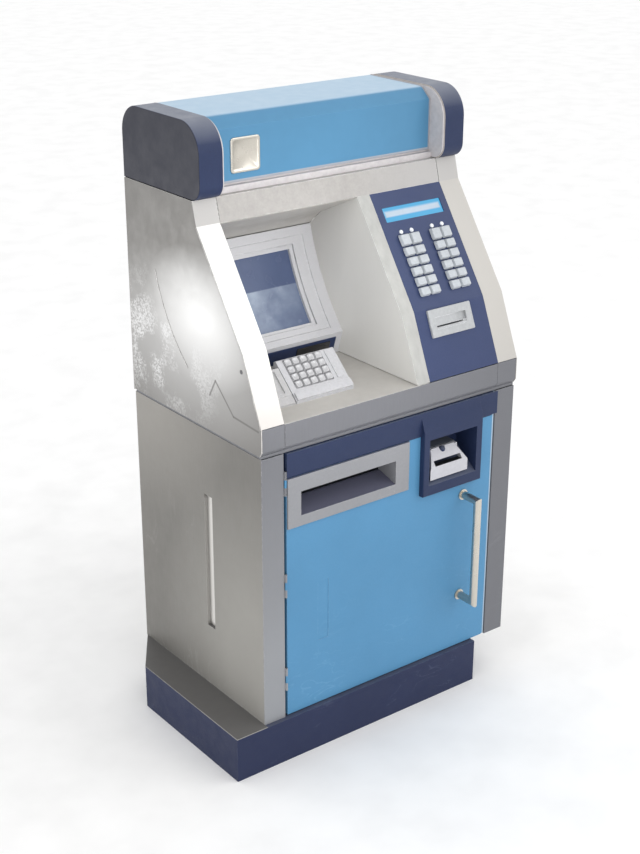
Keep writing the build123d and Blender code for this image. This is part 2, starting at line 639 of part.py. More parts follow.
def monitor_bezel():
    body = dish(0, 12, 0, 1, BEZEL_LEFT, BEZEL_RIGHT)
    x0, x1, low, high = GROOVE
    ring = dish(-1, 3, low, high, x0, x1) - dish(-2, 4, low + 0.008, high - 0.008, x0 + 5, x1 - 5)
    body = body - ring
    x0, x1, low, high = INNER_STEP
    step = dish(-1, 4, low, high, x0, x1)
    seam = dish(-1, 6.5, low, high, x0, x1) - dish(-2, 7, low + 0.006, high - 0.006, x0 + 1.6, x1 - 1.6)
    x0, x1, low, high = WINDOW
    hole = dish(-2, 14, low, high, x0, x1)
    fold = [SCREEN_FOOT, SKIRT_FOOT, (SKIRT_FOOT[0] + 6, SHELF_TOP), (SCREEN_FOOT[0] + 8, SCREEN_FOOT[1] - 6)]
    skirt = side_prism(fold, BEZEL_LEFT, BEZEL_RIGHT)
    return body - step - seam - hole + skirt


def screen_glass():
    x0, x1, low, high = WINDOW
    return dish(12.2, 15.2, low - 0.02, high + 0.02, x0 - 5, x1 + 5)


def picture_tube():
    """Cathode ray tube: face block, funnel and neck behind the glass."""
    x0, x1, low, high = WINDOW
    face = dish(16, 34, low, high, x0, x1)
    (cy, cz), radius, start, end = screen_arc()
    angle = start + (end - start) * (low + high) / 2
    out = Vector(0, cos(angle), sin(angle))
    origin = Vector((x0 + x1) / 2, cy, cz) + out * (radius + 30)
    base = Plane(origin=origin, x_dir=(1, 0, 0), z_dir=out)
    funnel = loft([base * RectangleRounded(224, 166, 12), base.offset(85) * Circle(20)])
    neck = extrude(base.offset(84) * Circle(14), amount=36)
    return face + funnel + neck


def bay_strip():
    """Dark sensor strip on the sloping skirt under the screen."""
    lean = (SKIRT_FOOT[0] - SCREEN_FOOT[0]) / (SCREEN_FOOT[1] - SKIRT_FOOT[1])
    line = [(SKIRT_FOOT[0] - lean * (z - SKIRT_FOOT[1]), z) for z in (884.0, 924.0)]
    return strap(line, -0.05, -316, 46, lift=2.4)


# ---- keyboard ------------------------------------------------------------------------
BOARD_LEFT = -230.0
BOARD_RIGHT = -64.0


def board_profile(back_u, drop=0.0):
    lean = radians(BOARD_ANGLE)
    foot_y, foot_z = BOARD_FOOT
    points = [(foot_y + u * cos(lean) + drop * sin(lean), foot_z + u * sin(lean) - drop * cos(lean))
              for u in (-10.0, back_u)]
    (y0, z0), (y1, z1) = points
    return [(y0, SHELF_TOP), (y0, z0), (y1, z1), (y1 + 7, z1 - 4), (y1 + 14, SHELF_TOP)]


def keyboard_housing():
    body = side_prism(board_profile(100), BOARD_LEFT, BOARD_RIGHT)
    body = fillet(body.edges().filter_by(Axis.X).group_by(Axis.Z)[-1], 2.5)
    middle = (BOARD_LEFT + BOARD_RIGHT) / 2 + 1
    body = body + on_plane(board_plane(middle, 1, -1), BOARD_RIGHT - BOARD_LEFT - 4, 20, 6, 2.5)
    well_x = BOARD_FIRST_X + BOARD_PITCH_X * (BOARD_KEY_COLUMNS - 1) / 2
    well_u = BOARD_FIRST_U + BOARD_PITCH_U * (BOARD_KEY_ROWS - 1) / 2
    well_width = BOARD_PITCH_X * BOARD_KEY_COLUMNS + 1
    well_depth = BOARD_PITCH_U * BOARD_KEY_ROWS + 0.2
    body = body - on_plane(board_plane(well_x, well_u, -5), well_width, well_depth, 12, 3)
    return body + on_plane(board_plane(-83.5, 59, -1), 19, 76, 3.5, 1.5)


def key_row(row):
    """One row of dished keyboard keys; row 0 is the nearest to the user."""
    keys = []
    for column in range(BOARD_KEY_COLUMNS):
        x = BOARD_FIRST_X + column * BOARD_PITCH_X
        u = BOARD_FIRST_U + row * BOARD_PITCH_U
        foot = board_plane(x, u, -4.8 + KEY_TRAVEL)
        top = board_plane(x, u, 3.6)
        skirt = loft([foot * RectangleRounded(BOARD_KEY_WIDTH + 2, BOARD_KEY_DEPTH + 2, 2),
                      top * RectangleRounded(BOARD_KEY_WIDTH - 2, BOARD_KEY_DEPTH - 2, 3)])
        dish_centre = board_plane(x, u, 24.6).origin
        keys.append(skirt - Pos(*dish_centre) * Sphere(22))
    return Compound(keys)


def keyboard_pad():
    """Sloping plate to the left of the keys, with a shallow recess."""
    x0, x1 = -314.0, BOARD_LEFT - 1.5
    body = side_prism(board_profile(81, drop=2.0), x0, x1)
    body = body + on_plane(board_plane((x0 + x1) / 2, 46, -3), x1 - x0 - 1, 72, 3, 2)
    return body - on_plane(board_plane((x0 + x1) / 2 + 2, 47, -4), x1 - x0 - 34, 60, 8, 2)


# ---- control panel -------------------------------------------------------------------
PANEL_THICK = 3.0
PANEL_RIGHT = CHEEK_EDGE + 0.9
DISPLAY = (214.0, 1234.5, 182.0, 37.0)       # middle x and z, width, height up the slope
SLOT_PLATE = (206.0, 999.0, 134.0, 67.0)


def key_places(column):
    """Heights of one column's keys: a tall one, then five at an even pitch."""
    lean = atan2(FASCIA_HEAD[0] - BEND[0], FASCIA_HEAD[1] - BEND[1])
    places = [(FIRST_KEY_Z, TALL_KEY_DEPTH)]
    first_gap = (TALL_KEY_DEPTH + KEY_DEPTH) / 2 + (KEY_PITCH - KEY_DEPTH)
    for index in range(5):
        z = FIRST_KEY_Z - (first_gap + KEY_PITCH * index) * cos(lean)
        places.append((z, KEY_DEPTH))
    return [(KEY_COLUMNS_X[column], z, depth) for z, depth in places]


def control_panel():
    body = strap(FASCIA, PANEL_THICK, DIVIDER_RIGHT + GAP, PANEL_RIGHT)
    back_bend = [edge for edge in body.edges().filter_by(Axis.X) if abs(edge.center().Z - BEND[1]) < 6]
    body = fillet(back_bend, 26)
    for column in range(len(KEY_COLUMNS_X)):
        for x, z, _ in key_places(column):
            body = body - on_plane(upper_slope(x, z, -10), 12, 10, 20)
    x, z, width, height = DISPLAY
    body = body - on_plane(upper_slope(x, z, -12), width, height, 20, 2)
    x, z, width, height = SLOT_PLATE
    return body - on_plane(lower_slope(x, z, -12), width - 24, height - 24, 20, 2)


def display_window():
    """Light box set in the panel: a tray with a clear front just below the surface."""
    x, z, width, height = DISPLAY
    body = on_plane(upper_slope(x, z, -14), width - GAP, height - GAP, 11, 2)
    flange = on_plane(upper_slope(x, z, -PANEL_THICK - 2.2), width + 14, height + 12, 2)
    return body + flange


def key_column(column):
    """One column of white function keys on square stems."""
    keys = []
    for x, z, depth in key_places(column):
        base = upper_slope(x, z, KEY_TRAVEL + 0.7) * RectangleRounded(KEY_WIDTH, depth, 4)
        cap = extrude(base, amount=KEY_HEIGHT, taper=KEY_TAPER)
        top = cap.faces().sort_by_distance(upper_slope(x, z, 30).origin)[0]
        cap = fillet(top.edges(), 1.6)
        stem = on_plane(upper_slope(x, z, -8), 9, 7, 8 + KEY_TRAVEL + 1.2)
        foot = on_plane(upper_slope(x, z, -9.5), 18, 14, 2)
        keys.append(cap + stem + foot)
    return Compound(keys)


def slot_plate():
    """Raised receipt plate with its slot, lip and finger notch."""
    x, z, width, height = SLOT_PLATE
    body = on_plane(lower_slope(x, z, 0.2), width, height, 6.5, 3)
    top = body.faces().sort_by_distance(lower_slope(x, z, 40).origin)[0]
    body = chamfer(top.edges(), 1.5)
    body = body + on_plane(lower_slope(x, z, -5), width - 26, height - 26, 6)
    body = body - on_plane(lower_slope(x - 3, z, 4.5), 96, 27, 8, 1.5)
    body = body - on_plane(lower_slope(x - 6, z - 8, -6), 84, 3.6, 14)
    body = body + on_plane(lower_slope(x - 6, z - 13, 4), 86, 3, 3.6, 1.2)
    return body - on_plane(lower_slope(x + 31, z + 4, -1.5), 32, 20, 12, 1.5)


def receipt_printer():
    body = block(140, 270, 92, 226, 905, 990)
    throat = side_prism([(58, 985), (92, 958), (92, 972), (64, 1000)], 160, 250)
    roll = rod(38, (150, 190, 1030), (260, 190, 1030))
    cradle = block(146, 264, 150, 226, 988, 1000)
    return body + cradle + (roll - rod(9, (140, 190, 1030), (270, 190, 1030))) + throat


# ---- rear and header -----------------------------------------------------------------
def back_panel():
    y0, y1 = CONSOLE_BACK - SHEET, CONSOLE_BACK
    body = block(-CONSOLE_HALF, CONSOLE_HALF, y0, y1, CONSOLE_BOTTOM - 4, RAIL_TOP)
    for row in range(14):
        z = 1120.0 + row * 13.0
        body = body - block(-180, -20, y0 - 1, y1 + 1, z, z + 5.5)
        body = body - block(20, 180, y0 - 1, y1 + 1, z, z + 5.5)
    return body


CAP_FRONT = 218.5
CAP_BACK = 541.0
PANEL_FRONT = 270.0
CROWN_RADIUS = 28.0


def cap_face(inset=0.0):
    """Outline of an end cap: three rounded corners and a square one at the lower back."""
    y0, y1 = CAP_FRONT + inset, CAP_BACK - inset
    z0, z1 = RAIL_TOP + 0.3 + inset, HEADER_TOP - inset
    front, back, foot = 72 - inset, 65 - inset, 36 - inset
    k = sin(radians(45))
    lines = [
        Line((y1, z0), (y1, z1 - back)),
        ThreePointArc((y1, z1 - back), (y1 - back + back * k, z1 - back + back * k), (y1 - back, z1)),
        Line((y1 - back, z1), (y0 + front, z1)),
        ThreePointArc((y0 + front, z1), (y0 + front - front * k, z1 - front + front * k), (y0, z1 - front)),
        Line((y0, z1 - front), (y0, z0 + foot)),
        ThreePointArc((y0, z0 + foot), (y0 + foot - foot * k, z0 + foot - foot * k), (y0 + foot, z0)),
        Line((y0 + foot, z0), (y1, z0)),
    ]
    return make_face(lines)


def end_cap(side):
    inner, outer = side * (CHEEK_EDGE + 1.0), side * HALF
    width = HALF - CHEEK_EDGE - 1.0
    low = min(inner, outer)
    body = extrude(Plane.YZ.offset(low) * cap_face(), amount=width)
    rim = body.faces().sort_by(Axis.X)[0 if side < 0 else -1]
    body = fillet(rim.edges(), 2.5)
    start = low + 4 if side < 0 else low - 1
    return body - extrude(Plane.YZ.offset(start) * cap_face(inset=4), amount=width - 3)


def header_profile(grow=0.0):
    g = grow
    return [(PANEL_FRONT - g, 1357 - g / 2), (PANEL_FRONT - g, 1480 + g / 3), (300 - g / 3, 1506 + g * 0.4),
            (498, 1506 + g * 0.4), (520, 1496), (532, 1472), (532, 1357 - g / 2)]


def rounded_crown(profile, x0, x1, radius):
    """Cover outline as a prism, with the bend between its crown and its top rounded."""
    body = side_prism(profile, x0, x1)
    bend = body.edges().filter_by(Axis.X).sort_by_distance((0, *profile[2]))[0]
    return fillet(bend, radius)


def header_panel():
    """Blue light cover: front, sloping crown, top and back in one folded shell."""
    edge = CHEEK_EDGE - 3.6
    body = rounded_crown(header_profile(), -edge, edge, CROWN_RADIUS)
    core = [(PANEL_FRONT + 3, 1350), (PANEL_FRONT + 3, 1478.6), (301.2, 1503), (497, 1503), (518, 1493.4),
            (529, 1471), (529, 1350)]
    return body - rounded_crown(core, -edge - 1, edge + 1, CROWN_RADIUS - 3)


def header_body():
    """Header tray with its front ledge, the end plates behind the caps and the panel rims."""
    edge = CHEEK_EDGE - 3.6
    tray = block(-edge, edge, 262, 532, RAIL_TOP + 0.3, RAIL_TOP + 4)
    ledge = block(-edge, edge, 262, 286, RAIL_TOP + 4, 1352)
    ledge = ledge - block(-edge - 1, edge + 1, 265, 283, RAIL_TOP + 4, 1349)
    seat = block(-edge, edge, PANEL_FRONT + 4, 282, 1349, 1366)
    body = tray + ledge + seat
    for side in (-1, 1):
        inner, outer = side * edge, side * (CHEEK_EDGE + 0.8)
        low = min(inner, outer)
        plate = extrude(Plane.YZ.offset(low) * cap_face(inset=3), amount=abs(outer - inner))
        body = body + plate
        rim_low = low if side > 0 else low + 2.4
        rim_high = low + 2.0 if side > 0 else low + abs(outer - inner)
        rim = rounded_crown(header_profile(3.5), rim_low, rim_high, CROWN_RADIUS)
        body = body + rim
    return body


def header_tubes():
    tubes = []
    for y in (345.0, 445.0):
        glass = rod(13, (-295, y, 1430), (295, y, 1430))
        caps = [rod(13.5, (x, y, 1430), (x + 16, y, 1430)) for x in (-311, 295)]
        holders = [block(x, x + 12, y - 16, y + 16, RAIL_TOP + 4, 1446) for x in (-318, 306)]
        tube = join(glass, caps)
        tubes.append(join(tube, holders))
    return Compound(tubes)


# ---- inside the cabinet --------------------------------------------------------------
SAFE = (-210.0, 210.0, 190.0, 490.0, PLINTH_HEIGHT + 3, 590.0)
SAFE_WALL = 12.0


def cash_safe():
    x0, x1, y0, y1, z0, z1 = SAFE
    body = rounded_block(x0, x1, y0, y1, z0, z1, 4, Axis.Y)
    wall = SAFE_WALL
    body = body - block(x0 + wall, x1 - wall, y0 + wall, y1 + 1, z0 + wall, z1 - wall)
    throat = block(-200 + 20, -40, y0 + 60, y0 + 100, z1 - wall - 1, z1 + 1)
    rails = []
    for z in (z0 + wall + 2, z0 + wall + 222):
        for x in (x0 + wall, x1 - wall - 10):
            rails.append(block(x, x + 10, y0 + wall, y1 - 30, z, z + 8))
    return join(body - throat, rails)


def safe_door():
    x0, x1, _, y1, z0, z1 = SAFE
    body = rounded_block(x0 - 6, x1 + 6, y1 + GAP, y1 + 10, z0, z1, 5, Axis.Y)
    edge = SAFE_WALL + 2
    plug = block(x0 + edge, x1 - edge, y1 - 14, y1 + GAP + 1, z0 + edge, z1 - edge)
    return body + plug


def cassette(index):
    """Note cassette: a box with a lid line, a handle recess and a roller window."""
    _, _, y0, y1, z0, _ = SAFE
    z = z0 + SAFE_WALL + 11 + 220 * index
    body = rounded_block(-170, 170, y0 + 40, y1 - 50, z, z + 190, 5, Axis.Y)
    body = body - block(-50, 50, y1 - 66, y1 - 49, z + 120, z + 150)
    body = body - block(-172, 172, y0 + 39, y1 - 49, z + 172, z + 173.5) + block(
        -165, 165, y0 + 45, y1 - 55, z + 171, z + 175)
    return body


def cash_dispenser():
    z1 = SAFE[5]
    body = block(-290, 20, 120, 470, z1 + 0.5, z1 + 40)
    tower = block(-285, 10, 120, 300, z1 + 40, 735)
    throat = block(-276, -4, 86, 120, 668, 698) - block(-270, -10, 85, 121, 676, 690)
    rollers = [rod(9, (-280, y, z1 + 58), (10, y, z1 + 58)) for y in (330, 380, 430)]
    cheeks = [block(x, x + 5, 306, 460, z1 + 40, z1 + 76) for x in (-285, 10)]
    return join(body + tower + throat, rollers + cheeks)


def control_unit():
    body = block(120, 300, 300, 500, SHELF_TOP - 60, 1120)
    for row in range(9):
        z = 900 + row * 20
        body = body - block(118, 122, 330, 470, z, z + 6)
    return body + block(112, 308, 290, 510, CONSOLE_BOTTOM, SHELF_TOP - 60)


# ---- output --------------------------------------------------------------------------
def pieces():
    made = {
        "plinth": plinth(),
        "cabinet_floor": cabinet_floor(),
        "left_side_panel": left_side_panel(),
        "right_side_panel": side_panel(1),
        "left_pillar": left_pillar(),
        "right_pillar": right_pillar(),
        "mid_deck": mid_deck(),
        "rear_frame": rear_frame(),
        "rear_door": rear_door(),
        "rear_lock": rear_lock(),
        "hinge_pins": hinge_pins(),
        "cable_gland": cable_gland(),
        "panel_screws": panel_screws(),
        "door_skin": door_skin(),
        "door_frame": door_frame(),
        "door_latch": door_latch(),
        "fascia_strip": fascia_strip(),
        "card_nose": card_nose(),
        "card_reader": card_reader(),
        "tray_bezel": tray_bezel(),
        "tray_shutter": tray_shutter(),
        "door_handle": door_handle(),
        "left_cheek": cheek(-1),
        "right_cheek": cheek(1),
        "corner_blocks": corner_blocks(),
        "console_band": console_band(),
        "top_rail": top_rail(),
        "shelf_plate": shelf_plate(),
        "bay_wall": bay_wall(),
        "bay_ceiling": bay_ceiling(),
        "monitor_bezel": monitor_bezel(),
        "screen_glass": screen_glass(),
        "picture_tube": picture_tube(),
        "bay_strip": bay_strip(),
        "keyboard_housing": keyboard_housing(),
        "keyboard_pad": keyboard_pad(),
        "control_panel": control_panel(),
        "display_window": display_window(),
        "slot_plate": slot_plate(),
        "receipt_printer": receipt_printer(),
        "back_panel": back_panel(),
        "left_end_cap": end_cap(-1),
        "right_end_cap": end_cap(1),
        "header_panel": header_panel(),
        "header_body": header_body(),
        "header_tubes": header_tubes(),
        "cash_safe": cash_safe(),
        "safe_door": safe_door(),
        "cash_dispenser": cash_dispenser(),
        "control_unit": control_unit(),
    }
    for row in range(BOARD_KEY_ROWS):
        made[f"key_row_{row + 1}"] = key_row(row)
    for column in range(len(KEY_COLUMNS_X)):
        made[f"key_column_{column + 1}"] = key_column(column)
    for index in range(2):
        made[f"cassette_{index + 1}"] = cassette(index)
    return made


os.makedirs("parts", exist_ok=True)
for node, piece in pieces().items():
    export_step(piece.moved(Location((0, -DEPTH / 2, 0))), f"parts/{node}.step")
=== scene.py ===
"""Looks, small trim and studio for a free-standing cash machine.

The machine's parts come in as a fixed frame. This file gives every part its finish, rounds
the edges, adds the small pieces that ride on it, and sets up floor, lights and camera.
"""

import math

import bmesh
import bpy
from bpy.props import FloatProperty, FloatVectorProperty, IntProperty, PointerProperty
from mathutils import Matrix, Vector


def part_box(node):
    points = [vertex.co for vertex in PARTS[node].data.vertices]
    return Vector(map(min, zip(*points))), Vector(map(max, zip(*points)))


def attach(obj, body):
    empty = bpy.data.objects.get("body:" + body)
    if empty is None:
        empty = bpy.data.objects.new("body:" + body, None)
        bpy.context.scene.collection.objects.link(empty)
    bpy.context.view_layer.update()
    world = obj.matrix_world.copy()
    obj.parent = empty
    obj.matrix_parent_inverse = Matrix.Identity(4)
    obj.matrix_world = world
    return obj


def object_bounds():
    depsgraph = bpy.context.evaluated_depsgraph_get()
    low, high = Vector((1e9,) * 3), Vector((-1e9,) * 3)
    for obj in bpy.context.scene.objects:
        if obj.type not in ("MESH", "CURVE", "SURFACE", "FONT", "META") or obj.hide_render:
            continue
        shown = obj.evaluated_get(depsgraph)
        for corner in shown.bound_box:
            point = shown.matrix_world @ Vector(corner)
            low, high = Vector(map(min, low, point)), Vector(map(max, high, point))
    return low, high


bl_info = {
    "name": "Cash Machine Looks",
    "version": (1, 0, 0),
    "blender": (4, 5, 0),
    "location": "3D View > Sidebar > Cash Machine",
    "description": "Finishes, trim and studio for a free-standing cash machine",
    "category": "Object",
}

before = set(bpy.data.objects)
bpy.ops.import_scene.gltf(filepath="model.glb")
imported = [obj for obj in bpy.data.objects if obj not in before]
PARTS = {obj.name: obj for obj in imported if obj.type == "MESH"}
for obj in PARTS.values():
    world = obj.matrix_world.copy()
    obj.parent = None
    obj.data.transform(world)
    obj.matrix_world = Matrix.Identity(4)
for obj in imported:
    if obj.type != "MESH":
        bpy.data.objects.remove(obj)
CAD_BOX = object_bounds()


# ---- settings ----
def srgb(red, green, blue):
    """A linear colour from three 0-255 display values."""
    shares = [value / 255 for value in (red, green, blue)]
    return tuple(s / 12.92 if s < 0.04045 else ((s + 0.055) / 1.055) ** 2.4 for s in shares)


def colour(name, description, value):
    return FloatVectorProperty(
        name=name, description=description, default=value, subtype="COLOR", size=3, min=0, max=1
    )


def length(name, description, value):
    return FloatProperty(
        name=name, description=description, default=value, min=0, subtype="DISTANCE", unit="LENGTH"
    )


def angle(name, description, degrees):
    return FloatProperty(
        name=name, description=description, default=math.radians(degrees), subtype="ANGLE"
    )


def power(name, description, watts):
    return FloatProperty(name=name, description=description, default=watts, min=0, unit="POWER")


class FinishColours(bpy.types.PropertyGroup):
    side_steel: colour("Side steel", "Sheet of the cabinet sides and rear", srgb(122, 120, 116))
    # painted light: the paler rear of the sides
    side_painted_light: colour("Side steel, pale", "Paler rear of the sides", srgb(148, 145, 140))
    cheek_steel: colour("Cheek steel", "Spangled sheet of the console sides", srgb(120, 118, 115))
    # painted highlight in the middle of the console sides
    cheek_highlight: colour("Cheek, bright", "Middle of the console sides", srgb(240, 240, 239))
    cheek_white: colour("Cheek white", "Front edges of the console cheeks", srgb(226, 224, 221))
    frame_grey: colour("Frame grey", "Pillars, band and corner blocks", srgb(114, 115, 120))
    rail_grey: colour("Rail grey", "Rail under the header", srgb(166, 163, 160))
    shelf_grey: colour("Shelf grey", "Shelf and ceiling of the screen bay", srgb(186, 183, 178))
    divider_white: colour("Divider white", "Strap beside the control panel", srgb(172, 172, 169))
    bay_grey: colour("Bay grey", "Wall of the screen bay", srgb(216, 215, 211))
    door_blue: colour("Door blue", "Front door skin", srgb(84, 140, 180))
    cover_blue: colour("Cover blue", "Header cover", srgb(81, 134, 170))
    # painted light on the top of the header cover
    cover_top_light: colour("Cover, painted_light_top", "Top of the header cover", srgb(162, 190, 212))
    navy: colour("Navy", "Header caps, door strip and card pod", srgb(36, 48, 80))
    plinth_navy: colour("Plinth navy", "Plinth", srgb(34, 43, 75))
    panel_navy: colour("Panel navy", "Control panel", srgb(50, 62, 98))
    monitor_white: colour("Monitor white", "Screen surround", srgb(188, 188, 191))
    tray_grey: colour("Tray grey", "Surround of the tray mouth", srgb(142, 143, 147))
    key_white: colour("Key white", "Function keys", srgb(178, 183, 188))
    key_metal: colour("Key metal", "Keyboard keys and housing", srgb(184, 184, 187))
    screen_blue: colour("Screen blue", "Glass of the switched-off screen", srgb(76, 88, 118))
    screen_reflection: colour("Screen, pale", "Haze on the lower part of the glass", srgb(160, 172, 188))
    # painted reflection on the lower part of the glass
    display_pale: colour("Display pale", "Middle of the lit display", srgb(200, 216, 232))
    display_cyan: colour("Display cyan", "Edge of the lit display", srgb(84, 176, 224))
    satin_steel: colour("Satin steel", "Door handle and badge plate", srgb(205, 200, 190))
    module_grey: colour("Module grey", "Safe and inner housings", srgb(120, 124, 128))
    # black is also the painted shade inside the card slot
    black: colour("Black", "Rubber, slots and sensor window", srgb(24, 25, 28))
    dust: colour("Dust", "Dust on faces that look up", srgb(140, 145, 156))
    # pale edges: rubbed paint and painted highlight
    worn_and_lit_edge: colour("Bare edge", "Worn paint along edges", srgb(206, 206, 208))


class EdgeSizes(bpy.types.PropertyGroup):
    folded: length("Folded sheet", "Edge radius of folded steel sheet", 0.0016)
    moulded: length("Moulded plastic", "Edge radius of moulded pieces", 0.0010)
    fine: length("Fine trim", "Edge radius of keys and small trim", 0.0005)
    steps: IntProperty(name="Steps", description="Facets across a rounded edge", default=2, min=1)


class TrimSizes(bpy.types.PropertyGroup):
    lamp: length("Key lamp", "Diameter of the lamps above the function keys", 0.0110)
    sensor_width: length("Sensor width", "Width of the window beside the keyboard", 0.102)
    sensor_height: length("Sensor height", "Height of that window", 0.025)
    badge: length("Badge", "Side of the plain badge plate", 0.080)
    dome: length("Nose dome", "Diameter of the dome on the card nose", 0.0168)
    plug: length("Side plug", "Diameter of the rubber plug in the left side", 0.010)


class StudioSettings(bpy.types.PropertyGroup):
    floor: colour("Floor", "Pale floor", (0.94, 0.94, 0.94))
    floor_radius: length("Floor radius", "Half the width of the floor", 30.0)
    sky: FloatProperty(name="Sky", description="Strength of the even light", default=1.05, min=0)
    key_light: power("Key light", "Large soft light, front right and high", 30)
    fill_light: power("Fill light", "Soft light from the front", 5)
    bay_light: power("Bay light", "Narrow light into the screen bay", 0.9)
    side_light: power("Side light", "Low light that glances off the left side", 0.42)
    camera_place: FloatVectorProperty(
        name="Camera place",
        description="Where the camera stands",
        default=(-2.1493, -2.7771, 2.1626),
        subtype="TRANSLATION",
        unit="LENGTH",
        size=3,
    )
    camera_turn: angle("Camera turn", "Heading, from straight at the front", 37.505)
    camera_tilt: angle("Camera tilt", "Downward tilt", 22.623)
    camera_roll: angle("Camera roll", "Roll about the line of sight", 0.160)
    lens: FloatProperty(
        name="Lens", description="Focal length", default=64.16, min=1, unit="CAMERA"
    )


class CashMachineSettings(bpy.types.PropertyGroup):
    colours: PointerProperty(type=FinishColours)
    edges: PointerProperty(type=EdgeSizes)
    trim: PointerProperty(type=TrimSizes)
    studio: PointerProperty(type=StudioSettings)


# ---- node trees ----
class Graph:
    """Adds and links the nodes of one material, group or world."""

    def __init__(self, tree):
        self.tree = tree
        self.column = 0

    def add(self, kind, sockets=None, **settings):
        node = self.tree.nodes.new("ShaderNode" + kind)
        node.location = (self.column * 190, 0)
        self.column += 1
        for name, value in settings.items():
            setattr(node, name, value)
        for name, value in (sockets or {}).items():
            self.feed(node.inputs[name], value)
        return node

    def feed(self, socket, value):
        if isinstance(value, bpy.types.NodeSocket):
            self.tree.links.new(value, socket)
        elif socket.type == "RGBA":
            socket.default_value = (*value[:3], 1)
        else:
            socket.default_value = value

    def math(self, operation, first, second=0.0, clamp=False):
        node = self.add("Math", {0: first, 1: second}, operation=operation, use_clamp=clamp)
        return node.outputs[0]

    def times(self, first, second):
        return self.math("MULTIPLY", first, second)

    def vector(self, operation, first, second, output=0):
        return self.add("VectorMath", {0: first, 1: second}, operation=operation).outputs[output]

    def dot(self, first, second):
        return self.vector("DOT_PRODUCT", first, second, "Value")

    def noise(self, place, scale, detail, **sockets):
        sockets = {"Vector": place, "Scale": scale, "Detail": detail, **sockets}
        return self.add("TexNoise", sockets).outputs[0]

    def place(self, output="Object"):
        """Where a point lies in the machine's own frame, or the way its face looks."""
        return self.add("TexCoord").outputs[output]

    def span(self, value, start, end, low=0.0, high=1.0):
        """Value from start..end, spread over low..high and held there."""
        sockets = {0: value, 1: start, 2: end, 3: low, 4: high}
        return self.add("MapRange", sockets, clamp=True).outputs[0]

    def mix(self, share, first, second, blend="MIX"):
        sockets = {0: share, 6: first, 7: second}
        node = self.add("Mix", sockets, data_type="RGBA", blend_type=blend, clamp_factor=True)
        return node.outputs[2]

    def group(self, name, **values):
        """Places a shared group, with its inputs given as keywords."""
        node = self.add("Group", node_tree=bpy.data.node_groups[name])
        for label, value in values.items():
            self.feed(node.inputs[label.replace("_", " ").capitalize()], value)
        return node


FLOAT, VECTOR = "NodeSocketFloat", "NodeSocketVector"


def new_group(name, inputs, outputs):
    """An empty group with its sockets: (graph, input sockets by name, output node)."""
    tree = bpy.data.node_groups.new(name, "ShaderNodeTree")
    for label, value in inputs.items():
        kind = VECTOR if isinstance(value, tuple) else FLOAT
        socket = tree.interface.new_socket(name=label, in_out="INPUT", socket_type=kind)
        socket.default_value = value
    for label in outputs:
        tree.interface.new_socket(name=label, in_out="OUTPUT", socket_type=FLOAT)
    graph = Graph(tree)
    entry = tree.nodes.new("NodeGroupInput")
    end = tree.nodes.new("NodeGroupOutput")
    return graph, entry.outputs, end.inputs


def make_mottle():
    """Soft clouds, grain or brushing, by scale and stretch."""
    inputs = {"Scale": 20.0, "Stretch": (1.0, 1.0, 1.0), "Detail": 3.0, "Low": 0.9, "High": 1.1}
    graph, given, end = new_group("mottle", inputs, ["Value"])
    place = graph.vector("MULTIPLY", graph.place(), given["Stretch"])
    noise = graph.noise(place, given["Scale"], given["Detail"])
    graph.feed(end["Value"], graph.span(noise, 0.3, 0.7, given["Low"], given["High"]))


def make_spangle():
    """Crystal flakes of zinc-coated sheet."""
    inputs = {"Scale": 150.0, "Low": 0.0, "High": 1.0}
    graph, given, end = new_group("spangle", inputs, ["Value", "Height"])
    place = graph.place()
    warp = graph.add("TexNoise", {"Vector": place, "Scale": 90.0, "Detail": 2.0}).outputs["Color"]
    warp = graph.add("VectorMath", {0: warp, "Scale": 0.006}, operation="SCALE").outputs[0]
    place = graph.vector("ADD", place, warp)
    cells = graph.add("TexVoronoi", {"Vector": place, "Scale": given["Scale"]})
    flake = graph.add("SeparateColor", {0: cells.outputs["Color"]}).outputs[0]
    flake = graph.times(flake, graph.span(graph.noise(place, 11.0, 3.0), 0.42, 0.6))
    graph.feed(end["Value"], graph.span(flake, 0.15, 0.75, given["Low"], given["High"]))
    graph.feed(end["Height"], flake)


def make_edge_wear_and_highlight():
    """Where paint is rubbed off along outer edges, which a pale layer also turns into painted
    highlight.
    """
    inputs = {"Radius": 0.002, "Breakup": 60.0, "Amount": 0.5}
    graph, given, end = new_group("edge_wear_and_highlight", inputs, ["Mask"])
    rounded = graph.add("Bevel", {"Radius": given["Radius"]}, samples=4).outputs[0]
    normal = graph.add("NewGeometry").outputs["Normal"]
    edge = graph.span(graph.dot(rounded, normal), 0.985, 0.86)
    noise = graph.noise(graph.place(), given["Breakup"], 4.0)
    edge = graph.times(edge, graph.span(noise, 0.35, 0.62))
    graph.feed(end["Mask"], graph.times(edge, given["Amount"]))


def make_settled_dust():
    """Dust on faces that look up."""
    inputs = {"Amount": 0.4, "Scale": 14.0}
    graph, given, end = new_group("settled_dust", inputs, ["Mask"])
    up = graph.add("SeparateXYZ", {0: graph.place("Normal")}).outputs["Z"]
    noise = graph.noise(graph.place(), given["Scale"], 5.0)
    lying = graph.times(graph.span(up, 0.35, 0.98), graph.span(noise, 0.2, 0.7, 0.7, 1.0))
    graph.feed(end["Mask"], graph.times(lying, given["Amount"]))


